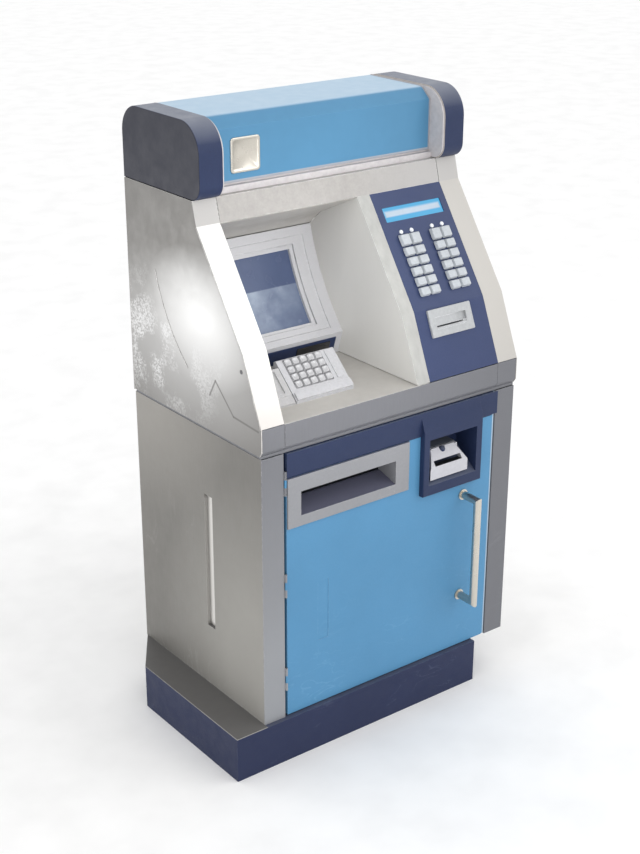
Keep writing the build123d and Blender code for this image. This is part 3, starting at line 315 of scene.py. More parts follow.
def make_scuffs():
    """Thin rubbed lines, thicker towards the floor."""
    inputs = {"Scale": 9.0, "Stretch": (1.0, 1.0, 1.0), "Reach": 0.5, "Amount": 0.4}
    graph, given, end = new_group("scuffs", inputs, ["Mask"])
    place = graph.place()
    stretched = graph.vector("MULTIPLY", place, given["Stretch"])
    noise = graph.noise(stretched, given["Scale"], 6.0, Distortion=0.6)
    line = graph.math("ABSOLUTE", graph.math("SUBTRACT", noise, 0.5))
    line = graph.span(line, 0.012, 0.0)
    line = graph.times(line, graph.span(graph.noise(place, 7.0, 2.0), 0.5, 0.62))
    height = graph.add("SeparateXYZ", {0: place}).outputs["Z"]
    low_down = graph.math("SUBTRACT", 1.0, graph.math("DIVIDE", height, given["Reach"]), clamp=True)
    graph.feed(end["Mask"], graph.times(graph.times(line, low_down), given["Amount"]))


def make_ramp(name, output, first, last):
    """A ramp from 0 to 1 along a direction, over places or over the ways that faces look."""
    inputs = {"Direction": (0.0, 0.0, 1.0), "Start": first, "End": last}
    graph, given, end = new_group(name, inputs, ["Mask"])
    along = graph.dot(graph.place(output), given["Direction"])
    graph.feed(end["Mask"], graph.span(along, given["Start"], given["End"]))


def make_toward():
    """How far a face looks along a direction of the machine."""
    make_ramp("toward", "Normal", 0.6, 0.8)


def make_across():
    """How far a point lies between two places along a direction."""
    make_ramp("across", "Object", 0.0, 1.0)


def make_patch():
    """A soft-edged round area: 1 at its centre, 0 at its reach."""
    inputs = {"Centre": (0.0, 0.0, 0.0), "Reach": (1.0, 1.0, 1.0), "Core": 0.3}
    graph, given, end = new_group("patch", inputs, ["Mask"])
    place = graph.vector("SUBTRACT", graph.place(), given["Centre"])
    place = graph.vector("DIVIDE", place, given["Reach"])
    away = graph.add("VectorMath", {0: place}, operation="LENGTH").outputs["Value"]
    graph.feed(end["Mask"], graph.span(away, 1.0, given["Core"]))


def make_scratch():
    """A thin straight line between two places on the machine."""
    inputs = {"Start": (0.0, 0.0, 0.0), "Finish": (0.0, 0.0, 1.0), "Width": 0.002}
    graph, given, end = new_group("scratch", inputs, ["Mask"])
    here = graph.vector("SUBTRACT", graph.place(), given["Start"])
    line = graph.vector("SUBTRACT", given["Finish"], given["Start"])
    share = graph.math("DIVIDE", graph.dot(here, line), graph.dot(line, line), clamp=True)
    foot = graph.add("VectorMath", {0: line, "Scale": share}, operation="SCALE").outputs[0]
    gap = graph.vector("DISTANCE", here, foot, "Value")
    graph.feed(end["Mask"], graph.span(gap, given["Width"], graph.times(given["Width"], 0.4)))


# ---- finishes ----
EVEN = (1.0, 1.0, 1.0)
UPRIGHT = (1.0, 1.0, 0.12)     # clouds drawn out up and down
UP, DOWN, LEFT, RIGHT, INWARD = (0, 0, 1), (0, 0, -1), (-1, 0, 0), (1, 0, 0), (0, 1, 0)

HAIRLINE = 0.0005              # softness of a painted boundary
RAIL_FOOT = 1.282              # where the cheeks meet the rail
STRIP_FOOT = 0.741             # lower edge of the door's dark strip
LATCH_EDGE = 0.3175            # latch side of the door
CARD_SLOT_FOOT, CARD_SLOT_HEAD = 0.6566, 0.6684
CARD_SLOT_HALF = 0.0432        # half its width
NOSE_LEAN = Vector((0, -0.376, 0.927))


def on_cheek(*places):
    """Places (y, z) on the outer face of the left cheek."""
    return [(-0.387, y, z) for y, z in places]


SLOT = ((-0.38, -0.0465, 0.298), (-0.38, -0.0465, 0.621))
# dark lines painted as shade along a crease and a pressed groove; the seam is a dark joint
CREASE_SHADE = on_cheek((-0.0685, 0.898), (-0.0935, 0.940), (-0.1635, 0.875), (-0.2595, 0.870))
SEAM = on_cheek((-0.2667, 0.876), (-0.2018, 1.0326), (-0.030, 1.280))
PRESSED_GROOVE_SHADE = on_cheek((0.1475, 1.142), (0.0995, 1.031), (0.0205, 0.939))


def bow(start, middle, end, steps=6):
    """Places along a shallow curve through three points."""
    start, middle, end = Vector(start), Vector(middle), Vector(end)
    pull = 2 * middle - (start + end) / 2
    shares = [step / steps for step in range(steps + 1)]
    return [tuple(start * (1 - t) ** 2 + pull * 2 * t * (1 - t) + end * t * t) for t in shares]


class Finish:
    """One painted, plated or moulded finish, as a material being built."""

    def __init__(self, name, base, rough=(0.4, 0.5), peel=(700.0, 0.12), **shader):
        self.material = bpy.data.materials.new(name)
        self.material.use_nodes = True
        self.material.diffuse_color = (*base, 1)
        self.graph = Graph(self.material.node_tree)
        self.shader = self.material.node_tree.nodes["Principled BSDF"]
        self.colour = self.tone(6.0, 0.965, 1.035, base)
        self.rough = self.mask("mottle", scale=35.0, low=rough[0], high=rough[1])
        self.height = self.mask("mottle", scale=peel[0], detail=1.0, low=0.0, high=1.0)
        self.bump = peel[1]
        self.shader.inputs["Specular IOR Level"].default_value = 0.3
        for socket, value in shader.items():
            self.shader.inputs[socket.replace("_", " ")].default_value = value

    def mask(self, effect, **sockets):
        """What a shared effect puts out first, with its inputs given as keywords."""
        return self.graph.group(effect, **sockets).outputs[0]

    def tone(self, scale, low, high, below=None, stretch=EVEN, detail=3.0):
        """Lightens and darkens the colour by soft noise."""
        value = self.mask("mottle", scale=scale, stretch=stretch, detail=detail, low=low, high=high)
        grey = self.graph.add("CombineColor", {0: value, 1: value, 2: value}).outputs[0]
        below = self.colour if below is None else below
        self.colour = self.graph.mix(1.0, below, grey, "MULTIPLY")
        return self.colour

    def over(self, mask, layer, share=1.0):
        """Lays another colour over the finish where the mask is bright."""
        if share < 1:
            mask = self.graph.times(mask, share)
        self.colour = self.graph.mix(mask, self.colour, layer)
        return self

    def wear_and_highlight(self, amount, layer=None, radius=0.0015):
        """Rubs the edges down to another colour; a pale colour there is also painted highlight
        along the rounded edges.
        """
        mask = self.mask("edge_wear_and_highlight", radius=radius, amount=amount)
        return self.over(mask, layer or settings().colours.worn_and_lit_edge)

    def dust(self, amount):
        return self.over(self.mask("settled_dust", amount=amount), settings().colours.dust)

    def scuff(self, amount, reach, stretch=EVEN, layer=None):
        """Thin rubbed lines up to a height above the floor."""
        mask = self.mask("scuffs", stretch=stretch, reach=reach, amount=amount)
        return self.over(mask, layer or settings().colours.worn_and_lit_edge)

    def toward(self, direction, layer, start=0.6, end=0.8):
        """Another colour on the faces that look one way."""
        return self.over(self.mask("toward", direction=direction, start=start, end=end), layer)

    def across(self, direction, start, end, layer, share=1.0):
        """Another colour that comes in along one way."""
        mask = self.mask("across", direction=direction, start=start, end=end)
        return self.over(mask, layer, share)

    def patch(self, centre, reach, layer, share=1.0, core=0.3):
        """Another colour in one soft-edged area."""
        mask = self.mask("patch", centre=centre, reach=reach, core=core)
        return self.over(mask, layer, share)

    def done(self):
        sockets = {"Strength": self.bump, "Distance": 0.0006, "Height": self.height}
        normal = self.graph.add("Bump", sockets).outputs[0]
        self.graph.feed(self.shader.inputs["Base Color"], self.colour)
        self.graph.feed(self.shader.inputs["Roughness"], self.rough)
        self.graph.feed(self.shader.inputs["Normal"], normal)
        return self.material


def settings():
    """The colours, sizes and studio values chosen for this scene."""
    return bpy.context.scene.cash_machine


def side_steel_finish():
    """Satin sheet with painted light, paler high at the rear and low in front and bright in its
    long slot, and painted shade on faces that look up.
    """
    tones = settings().colours
    steel = Finish("side_steel", tones.side_steel, rough=(0.4, 0.52))
    steel.tone(3.2, 0.95, 1.05, stretch=UPRIGHT, detail=4.0)
    steel.tone(420.0, 0.965, 1.035, stretch=(1.0, 1.0, 0.05), detail=2.0)
    # painted light: paler patches high at the rear and low in front
    steel.patch((-0.385, 0.27, 0.84), (1.0, 0.42, 0.34), tones.side_painted_light, 0.95)
    steel.patch((-0.385, -0.24, 0.24), (1.0, 0.42, 0.5), srgb(160, 158, 153), 0.85)
    steel.scuff(0.3, 0.75, (1.0, 1.0, 0.3), srgb(172, 171, 168))
    # painted light inside the long slot, whose inside lies in shade
    slot = steel.mask("scratch", start=SLOT[0], finish=SLOT[1], width=0.0185)
    steel.over(slot, srgb(226, 224, 220))
    # painted shade: faces that look up, such as the sill by the plinth, darker
    steel.toward(UP, srgb(96, 95, 94))
    # pale edge layer: rubbed paint and painted highlight along the edges
    return steel.wear_and_highlight(0.45).done()


def bright_steel_finish():
    """Spangled sheet at the sides with a painted highlight and glints, dark seam lines and dark
    lines painted as shade along a crease and a pressed groove; smooth pale paint on the folded
    fronts, painted darker towards the bottom and on the right cheek as shade.
    """
    tones = settings().colours
    steel = Finish("bright_steel", tones.cheek_white, rough=(0.34, 0.46))
    steel.tone(26.0, 0.97, 1.02, detail=5.0)
    # painted shade: the folded fronts darker towards the bottom and on the right cheek
    steel.across(DOWN, -1.06, -0.90, srgb(196, 191, 187), 0.7)
    steel.across(RIGHT, 0.0, 0.3, srgb(184, 181, 176), 0.95)
    steel.across(UP, RAIL_FOOT - HAIRLINE, RAIL_FOOT + HAIRLINE, srgb(180, 178, 176))
    front = steel.colour
    sides = [steel.mask("toward", direction=way) for way in (LEFT, RIGHT)]
    side = steel.graph.math("ADD", *sides, clamp=True)
    steel.colour = steel.tone(5.0, 0.94, 1.06, tones.cheek_steel, stretch=UPRIGHT, detail=5.0)
    # painted highlight: a broad pale halo and a white core in the middle of the side faces
    steel.patch((-0.387, 0.02, 0.98), (1.0, 0.46, 0.24), srgb(176, 175, 174), 0.9)
    steel.patch((-0.387, -0.04, 1.07), (1.0, 0.24, 0.17), tones.cheek_highlight, 0.9, 0.1)
    # spangle flakes, painted bright as glints in one area beside the painted highlight
    flakes = steel.graph.group("spangle", scale=240.0, low=0.0, high=0.75).outputs
    where = steel.mask("patch", centre=(-0.387, 0.16, 0.96), reach=(1.0, 0.34, 0.2), core=0.3)
    steel.over(steel.graph.times(flakes[0], where), srgb(224, 224, 224))
    # dark lines: painted shade along the crease and the pressed groove, and the dark seam joint
    lines = (CREASE_SHADE, 0.0034, 0.75), (bow(*PRESSED_GROOVE_SHADE), 0.0034, 0.6), (SEAM, 0.0024, 0.7)
    for line, width, share in lines:
        for start, finish in zip(line, line[1:]):
            stroke = steel.mask("scratch", start=start, finish=finish, width=width)
            steel.over(stroke, srgb(104, 102, 100), share)
    steel.colour = steel.graph.mix(side, front, steel.colour)
    steel.graph.feed(steel.shader.inputs["Metallic"], steel.graph.times(side, 0.15))
    steel.height = steel.graph.math("ADD", steel.height, steel.graph.times(flakes[1], side))
    # near-white edge layer: painted highlight along the rounded edges, broken up like wear
    return steel.wear_and_highlight(0.4, srgb(246, 246, 246)).done()


def frame_grey_finish():
    """Grey frame paint, with painted shade on the right pillar and painted light on the lower left
    pillar.
    """
    grey = settings().colours.frame_grey
    paint = Finish("frame_paint", grey, rough=(0.4, 0.5), peel=(900.0, 0.15))
    paint.tone(300.0, 0.975, 1.025, stretch=(1.0, 1.0, 0.08))
    # painted shade to the right and painted light low on the left pillar
    paint.across(RIGHT, 0.1, 0.36, srgb(110, 111, 116), 0.8)
    left = paint.mask("across", direction=LEFT, start=0.28, end=0.30)
    below = paint.mask("across", direction=DOWN, start=-0.81, end=-0.3)
    paint.over(paint.graph.times(left, below), srgb(148, 150, 154))
    paint.scuff(0.3, 0.6, layer=srgb(170, 170, 174))
    return paint.wear_and_highlight(0.6).dust(0.2).done()


def rail_finish():
    paint = Finish("rail_grey", settings().colours.rail_grey, rough=(0.36, 0.5), peel=(500.0, 0.1))
    paint.tone(45.0, 0.93, 1.04, detail=6.0)
    paint.tone(180.0, 0.96, 1.03, detail=4.0)
    paint.across(RIGHT, 0.05, 0.3, srgb(176, 174, 173), 0.9)
    # near-white edge layer: painted highlight along the rail's rounded edges
    return paint.wear_and_highlight(0.9, srgb(248, 248, 246)).done()


def shelf_finish():
    grey = settings().colours.shelf_grey
    paint = Finish("shelf_grey", grey, rough=(0.34, 0.48), peel=(600.0, 0.08))
    paint.tone(5.0, 0.95, 1.04, stretch=(1.0, 1.0, 0.1), detail=3.0)
    paint.tone(55.0, 0.975, 1.02, detail=6.0)
    # near-white edge layer: painted highlight along the shelf's front edge
    return paint.wear_and_highlight(0.95, srgb(244, 243, 240)).done()


def divider_finish():
    """Pale strap in front, greyer wall towards the screen, painted as shade deeper in the bay."""
    tones = settings().colours
    paint = Finish("divider_white", tones.divider_white, rough=(0.36, 0.5), peel=(600.0, 0.1))
    paint.tone(60.0, 0.9, 1.05, stretch=(1.0, 1.0, 0.2), detail=6.0)
    front = paint.colour
    paint.colour = paint.tone(6.0, 0.93, 1.05, tones.bay_grey, stretch=UPRIGHT)
    # painted shade: the wall greyer deeper in the bay
    paint.across((0, 1, 0.3), 0.34, 0.5, srgb(160, 158, 156), 0.6)
    paint.colour = paint.graph.mix(paint.mask("toward", direction=LEFT), front, paint.colour)
    # near-white edge layer: painted highlight along the rounded edges
    return paint.wear_and_highlight(0.6, srgb(250, 250, 248)).done()


def door_blue_finish():
    tones = settings().colours
    paint = Finish("door_blue", tones.door_blue, rough=(0.44, 0.56), peel=(850.0, 0.14))
    paint.tone(260.0, 0.98, 1.02)
    paint.scuff(0.3, 0.45, (1.0, 1.0, 2.5), srgb(140, 186, 218))
    paint.across(UP, STRIP_FOOT - HAIRLINE, STRIP_FOOT + HAIRLINE, tones.navy)
    return paint.wear_and_highlight(0.45, srgb(166, 200, 224)).dust(0.15).done()


def door_edge_finish():
    """Door surround: blue, with a pale strip on its latch side."""
    tones = settings().colours
    paint = Finish("door_edge", tones.door_blue, rough=(0.42, 0.54), peel=(850.0, 0.14))
    paint.tone(260.0, 0.96, 1.03)
    paint.across(UP, STRIP_FOOT - HAIRLINE, STRIP_FOOT + HAIRLINE, tones.navy)
    paint.across(RIGHT, LATCH_EDGE - 0.001, LATCH_EDGE + 0.001, srgb(176, 192, 206), 0.85)
    return paint.wear_and_highlight(0.45, srgb(190, 204, 216), 0.0012).done()


def cover_finish():
    """Moulded header cover: painted light on top, grey along its foot, pale strips at its ends."""
    tones = settings().colours
    low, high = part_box("header_panel")
    plastic = Finish("cover_blue", tones.cover_blue, rough=(0.32, 0.42), peel=(500.0, 0.06))
    plastic.tone(38.0, 0.985, 1.015, detail=5.0)
    # painted light: faces that look up paler where light falls on them
    plastic.toward(UP, tones.cover_top_light, 0.9, 0.985)
    plastic.across(DOWN, -low.z - 0.0055, -low.z - 0.005, srgb(156, 161, 170))
    end = high.x - 0.0048
    plastic.across(RIGHT, end, end + HAIRLINE, srgb(152, 156, 165))
    plastic.across(LEFT, end, end + HAIRLINE, srgb(214, 218, 224))
    return plastic.wear_and_highlight(0.3, srgb(206, 224, 238)).done()


def navy_finish(name, base, dust, peel=(650.0, 0.22), scuff=0.0):
    """Dark grained plastic or paint."""
    plastic = Finish(name, base, rough=(0.42, 0.54), peel=peel)
    plastic.tone(320.0, 0.94, 1.06)
    if scuff:
        plastic.scuff(scuff, 0.16, (1.0, 1.0, 3.0), srgb(112, 120, 142))
    return plastic.wear_and_highlight(0.3, srgb(128, 136, 164)).dust(dust).done()


def cap_finish(name, lined=False):
    """Navy cap, greyed on its outer side; a lined one is pale towards the cover."""
    navy = settings().colours.navy
    plastic = Finish(name, navy, rough=(0.42, 0.54), peel=(650.0, 0.22))
    plastic.tone(320.0, 0.94, 1.06)
    plastic.dust(0.75).wear_and_highlight(0.3, srgb(128, 136, 164))
    layer = srgb(188, 182, 176) if lined else srgb(42, 44, 56)
    return plastic.toward(LEFT, layer).done()


def monitor_finish():
    white = settings().colours.monitor_white
    plastic = Finish("monitor_white", white, rough=(0.34, 0.44), peel=(750.0, 0.2))
    plastic.tone(240.0, 0.975, 1.02)
    # near-white edge layer: painted highlight along the rounded edges
    return plastic.wear_and_highlight(0.85, srgb(250, 250, 252)).done()


def key_finish(name, base, metal, rough):
    caps = Finish(name, base, rough=rough, peel=(1200.0, 0.08), Metallic=metal)
    caps.tone(160.0, 0.93, 1.05, detail=4.0)
    # near-white edge layer: painted highlight along the key edges
    return caps.wear_and_highlight(0.8, srgb(246, 247, 250), 0.0012).done()


def nose_finish():
    """White reader mouth, with black painted as shade inside its card slot."""
    low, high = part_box("card_nose")
    nose = Finish("nose_white", srgb(190, 190, 196), rough=(0.34, 0.46), peel=(1200.0, 0.08))
    nose.tone(160.0, 0.96, 1.03, detail=4.0)
    fade = 0.0003
    # painted shade: black across the card slot opening
    above = nose.mask("across", direction=UP, start=CARD_SLOT_FOOT, end=CARD_SLOT_FOOT + fade)
    below = nose.mask("across", direction=DOWN, start=-CARD_SLOT_HEAD, end=fade - CARD_SLOT_HEAD)
    middle = ((low.x + high.x) / 2, 0, 0)
    beside = nose.mask("patch", centre=middle, reach=(CARD_SLOT_HALF, 9, 9), core=0.995)
    inside = nose.graph.times(nose.graph.times(above, below), beside)
    nose.wear_and_highlight(0.6, srgb(240, 240, 244), 0.0012)
    return nose.over(inside, settings().colours.black).done()


def tray_finish():
    """Painted tray surround, dark on the floor of its mouth."""
    grey = settings().colours.tray_grey
    paint = Finish("tray_grey", grey, rough=(0.36, 0.48), peel=(800.0, 0.14))
    paint.tone(200.0, 0.97, 1.03)
    paint.scuff(0.3, 2.0, (1.0, 1.0, 4.0), srgb(196, 196, 199))
    paint.toward(UP, srgb(90, 91, 108), 0.5)
    return paint.wear_and_highlight(0.7, srgb(222, 222, 224)).done()


def satin_steel_finish():
    base = settings().colours.satin_steel
    steel = Finish("satin_steel", base, rough=(0.24, 0.38), peel=(900.0, 0.06), Metallic=1.0)
    steel.tone(500.0, 0.93, 1.05, stretch=(1.0, 1.0, 0.04), detail=2.0)
    return steel.wear_and_highlight(0.4, srgb(240, 238, 234), 0.0012).done()


def dull_finish(name, base, rough=(0.5, 0.65), metal=0.0):
    """Inner housings, rubber and other plain working parts."""
    body = Finish(name, base, rough=rough, peel=(500.0, 0.2), Metallic=metal)
    body.tone(90.0, 0.92, 1.06, detail=4.0)
    return body.wear_and_highlight(0.3).dust(0.2).done()


def screen_finish():
    """Dark glass over a switched-off tube, with a painted reflection below a sharp line."""
    tones = settings().colours
    low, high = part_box("screen_glass")
    line = low.z + 0.54 * (high.z - low.z)
    glass = Finish("screen_glass", tones.screen_blue, rough=(0.2, 0.3), peel=(60.0, 0.0))
    glass.tone(30.0, 0.97, 1.03, detail=4.0)
    # painted reflection: a pale mottled band below the sharp line
    below = glass.mask("across", direction=DOWN, start=-line - 0.001, end=-line + 0.001)
    fade = glass.mask("across", direction=(-0.6, 0, 1), start=low.z - 0.02, end=line + 0.12)
    reflection_mottle = glass.mask("mottle", scale=26.0, detail=7.0, low=0.45, high=1.0)
    mask = glass.graph.times(glass.graph.times(below, fade), reflection_mottle)
    return glass.over(mask, tones.screen_reflection).done()


def display_finish():
    """Lit display: a pale field with a cyan edge."""
    tones = settings().colours
    low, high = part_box("display_window")
    middle, half = (low + high) / 2, (high - low) / 2
    glow = Finish("display_glow", tones.display_pale, rough=(0.3, 0.4), peel=(900.0, 0.02))
    glow.tone(40.0, 0.94, 1.04, detail=4.0)
    graph = glow.graph
    place = graph.add("SeparateXYZ", {0: graph.place()}).outputs
    side = graph.math("ABSOLUTE", graph.math("SUBTRACT", place["X"], middle.x))
    side = graph.math("DIVIDE", side, half.x)
    rise = graph.math("DIVIDE", graph.math("SUBTRACT", place["Z"], middle.z), half.z)
    rims = [graph.span(side, 0.84, 0.9), graph.span(rise, 0.28, 0.5), graph.span(rise, -0.1, -0.25)]
    edge = graph.math("MAXIMUM", graph.math("MAXIMUM", rims[0], rims[1]), rims[2])
    glow.over(edge, tones.display_cyan)
    graph.feed(glow.shader.inputs["Emission Color"], glow.colour)
    glow.shader.inputs["Emission Strength"].default_value = 0.92
    glow.colour = graph.mix(0.94, glow.colour, (0.0, 0.0, 0.0))
    return glow.done()


def lamp_finish():
    pale, peel = srgb(228, 232, 236), (900.0, 0.03)
    lens = Finish("lamp_white", pale, rough=(0.15, 0.25), peel=peel, Coat_Weight=0.8)
    lens.tone(400.0, 0.95, 1.04)
    return lens.done()


# ---- mesh helpers ----
def dress(material, *names, edge=0.0):
    """Gives CAD parts their finish, and rounds their sharp edges where a radius is given."""
    for name in names:
        part = PARTS[name]
        part.data.materials.clear()
        part.data.materials.append(material)
        if edge:
            round_edges(part, edge)


def round_edges(piece, width):
    """Rounds sharp edges by modifiers alone."""
    weld = piece.modifiers.new("weld", "WELD")
    weld.merge_threshold = 0.00002
    flats = piece.modifiers.new("flats", "DECIMATE")
    flats.decimate_type = "DISSOLVE"
    flats.angle_limit = math.radians(0.6)
    bevel = piece.modifiers.new("rounded", "BEVEL")
    bevel.width = width
    bevel.segments = settings().edges.steps
    bevel.limit_method = "ANGLE"
    bevel.angle_limit = math.radians(32)
    bevel.use_clamp_overlap = True
    bevel.miter_outer = "MITER_SHARP"
    shading = piece.modifiers.new("shading", "WEIGHTED_NORMAL")
    shading.weight = 60


def new_object(name, data):
    made = bpy.data.objects.new(name, data)
    bpy.context.scene.collection.objects.link(made)
    return made


def mesh_object(name, shape, material):
    """A new object from a bmesh."""
    mesh = bpy.data.meshes.new(name)
    shape.to_mesh(mesh)
    shape.free()
    mesh.materials.append(material)
    return new_object(name, mesh)


def mesh_piece(name, shape, material, body, place):
    """A new piece from a bmesh, set in place and riding on a body."""
    piece = mesh_object(name, shape, material)
    for face in piece.data.polygons:
        face.use_smooth = True
    piece.matrix_world = place
    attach(piece, body)
    return piece


def surface_frame(node, start, toward, across=(1, 0, 0)):
    """Where a ray meets a CAD part: a placement whose Z is the face's normal."""
    hit, point, normal, _ = PARTS[node].ray_cast(Vector(start), Vector(toward))
    if not hit:
        raise RuntimeError(f"nothing of {node} lies at {tuple(start)} along {toward}")
    side = Vector(across)
    side = (side - normal * side.dot(normal)).normalized()
    turn = Matrix((side, normal.cross(side), normal)).transposed().to_4x4()
    return Matrix.Translation(point) @ turn


def turned_shape(profile, segments=32):
    """A closed turned form from (radius, height) points; the ends lie on the axis."""
    shape = bmesh.new()
    rings = []
    for radius, height in profile:
        if radius == 0:
            rings.append([shape.verts.new((0, 0, height))])
        else:
            turns = [2 * math.pi * i / segments for i in range(segments)]
            spots = [(radius * math.cos(a), radius * math.sin(a), height) for a in turns]
            rings.append([shape.verts.new(spot) for spot in spots])
    for below, above in zip(rings, rings[1:]):
        for i in range(segments):
            j = (i + 1) % segments
            around = (below, i), (below, j), (above, j), (above, i)
            corners = [ring[k % len(ring)] for ring, k in around]
            shape.faces.new(dict.fromkeys(corners))
    bmesh.ops.recalc_face_normals(shape, faces=shape.faces)
    return shape


def dome_profile(radius, rise, skirt, steps=8):
    """A domed cap on a short straight skirt, closed below."""
    arc = [math.pi / 2 * i / steps for i in range(steps + 1)]
    crown = [(radius * math.cos(a), skirt + rise * math.sin(a)) for a in arc[:-1]]
    return [(0, -skirt), (radius, -skirt)] + crown + [(0, skirt + rise)]


def plate_outline(width, height, radius, steps=6):
    corners = [(1, 1, 0), (-1, 1, 90), (-1, -1, 180), (1, -1, 270)]
    points = []
    for x, y, start in corners:
        for i in range(steps + 1):
            turn = math.radians(start + 90 * i / steps)
            across = x * (width / 2 - radius) + radius * math.cos(turn)
            points.append((across, y * (height / 2 - radius) + radius * math.sin(turn)))
    return points


def plate_shape(outlines):
    """A closed plate from nested outlines, each given as (points, height), back to front."""
    shape = bmesh.new()
    rings = [[shape.verts.new((x, y, height)) for x, y in points] for points, height in outlines]
    count = len(rings[0])
    for below, above in zip(rings, rings[1:]):
        for i in range(count):
            j = (i + 1) % count
            shape.faces.new((below[i], below[j], above[j], above[i]))
    shape.faces.new(list(reversed(rings[0])))
    shape.faces.new(rings[-1])
    bmesh.ops.recalc_face_normals(shape, faces=shape.faces)
    return shape


# ---- pieces ----
DONE = {"FINISHED"}


class Piece:
    """Shared by the operators that dress or add pieces."""

    bl_options = {"REGISTER", "UNDO"}


class CASHMACHINE_OT_surface_groups(Piece, bpy.types.Operator):
    """Makes the shared surface effects that the finishes use"""

    bl_idname = "cash_machine.surface_groups"
    bl_label = "Surface Effects"

    def execute(self, context):
        for make in (
            make_mottle, make_spangle, make_edge_wear_and_highlight, make_settled_dust,
            make_scuffs, make_toward, make_across, make_patch, make_scratch,
        ):
            make()
        return DONE


class CASHMACHINE_OT_cabinet(Piece, bpy.types.Operator):
    """Finishes the lower cabinet: plinth, sides, pillars, deck and rear"""

    bl_idname = "cash_machine.cabinet"
    bl_label = "Cabinet"

    def execute(self, context):
        tones, edge = settings().colours, settings().edges.folded
        steel, paint = side_steel_finish(), frame_grey_finish()
        dress(steel, "left_side_panel", "right_side_panel", "rear_frame", edge=edge)
        dress(steel, "rear_door", "back_panel", edge=edge)
        dress(paint, "left_pillar", "right_pillar", "mid_deck", edge=edge)
        dress(paint, "cabinet_floor")
        dress(navy_finish("plinth_navy", tones.plinth_navy, 0.25, scuff=0.5), "plinth", edge=edge)
        lock = dull_finish("lock_steel", srgb(170, 170, 168), (0.3, 0.4), 0.9)
        dress(lock, "rear_lock", "hinge_pins")
        dress(dull_finish("gland_black", tones.black), "cable_gland")
        return DONE


class CASHMACHINE_OT_console(Piece, bpy.types.Operator):
    """Finishes the console: cheeks, corner blocks, band, rail and screen bay"""

    bl_idname = "cash_machine.console"
    bl_label = "Console"

    def execute(self, context):
        edge = settings().edges.folded
        dress(bright_steel_finish(), "left_cheek", "right_cheek", edge=edge)
        dress(bpy.data.materials["frame_paint"], "corner_blocks", "console_band", edge=edge)
        dress(rail_finish(), "top_rail", edge=edge)
        dress(shelf_finish(), "shelf_plate", "bay_ceiling", edge=edge)
        dress(divider_finish(), "bay_wall", edge=edge)
        rubber = dull_finish("plug_rubber", srgb(96, 94, 92), (0.5, 0.65))
        place = surface_frame("left_cheek", (-1, -0.1975, 0.992), RIGHT, (0, -1, 0))
        plug = turned_shape(dome_profile(settings().trim.plug / 2, 0.0006, 0.0006))
        mesh_piece("side_plug", plug, rubber, "cabinet", place)
        return DONE


class CASHMACHINE_OT_header(Piece, bpy.types.Operator):
    """Finishes the header and adds its plain badge plate"""

    bl_idname = "cash_machine.header"
    bl_label = "Header"

    def execute(self, context):
        edge = settings().edges.moulded
        dress(cap_finish("left_cap"), "left_end_cap", edge=edge)
        dress(cap_finish("lined_cap", lined=True), "right_end_cap", edge=edge)
        dress(cover_finish(), "header_panel", edge=edge)
        dress(dull_finish("header_white", srgb(196, 192, 193)), "header_body", edge=edge)
        dress(lamp_finish(), "header_tubes")
        self.badge(settings().trim.badge)
        return DONE

    def badge(self, side):
        """A rimmed square plate with a shallow dish."""
        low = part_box("header_panel")[0]
        start = (low.x + 0.090, low.y - 0.1, low.z + 0.060)
        place = surface_frame("header_panel", start, INWARD)
        rim, dish = 0.008, 0.005        # corner radii
        steps = [
            (side, rim, -0.0005), (side, rim, 0.0018), (side - 0.0016, rim, 0.0026),
            (side - 0.012, dish, 0.0026), (side - 0.014, dish, 0.0012),
        ]
        outlines = [(plate_outline(wide, wide, corner), rise) for wide, corner, rise in steps]
        shape, steel = plate_shape(outlines), satin_steel_finish()
        mesh_piece("badge_plate", shape, steel, "cabinet", place)


class CASHMACHINE_OT_screen(Piece, bpy.types.Operator):
    """Finishes the screen and its surround, and adds the sensor window below it"""

    bl_idname = "cash_machine.screen"
    bl_label = "Screen"

    def execute(self, context):
        tones, edge = settings().colours, settings().edges.moulded
        dress(monitor_finish(), "monitor_bezel", edge=edge)
        dress(screen_finish(), "screen_glass")
        dress(dull_finish("tube_grey", srgb(90, 96, 104)), "picture_tube")
        dress(navy_finish("strip_navy", tones.navy, 0.2), "bay_strip", edge=edge)
        self.sensor_window(settings().trim, tones.black)
        return DONE

    def sensor_window(self, sizes, black):
        """A glossy window that stands a little proud of the strip."""
        low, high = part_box("bay_strip")
        width, height = sizes.sensor_width, sizes.sensor_height
        start = (high.x - 0.068, low.y - 0.1, (low.z + high.z) / 2)
        place = surface_frame("bay_strip", start, INWARD)
        outlines = [
            (plate_outline(width, height, 0.003), -0.0005),
            (plate_outline(width, height, 0.003), 0.0012),
            (plate_outline(width - 0.001, height - 0.001, 0.0025), 0.0016),
        ]
        glass = Finish("sensor_black", black, rough=(0.12, 0.2), Coat_Weight=0.6).done()
        shape = plate_shape(outlines)
        mesh_piece("sensor_window", shape, glass, "cabinet", place)


class CASHMACHINE_OT_keyboard(Piece, bpy.types.Operator):
    """Finishes the keyboard, its pad and its four rows of keys"""

    bl_idname = "cash_machine.keyboard"
    bl_label = "Keyboard"

    def execute(self, context):
        edge = settings().edges.fine
        silver = key_finish("keyboard_silver", settings().colours.key_metal, 0.3, (0.34, 0.46))
        pad = key_finish("pad_silver", srgb(176, 175, 176), 0.3, (0.3, 0.42))
        caps = key_finish("key_metal", srgb(186, 186, 188), 0.5, (0.24, 0.36))
        dress(silver, "keyboard_housing", edge=edge)
        dress(pad, "keyboard_pad", edge=edge)
        dress(caps, *[f"key_row_{i}" for i in (1, 2, 3, 4)], edge=edge)
        return DONE


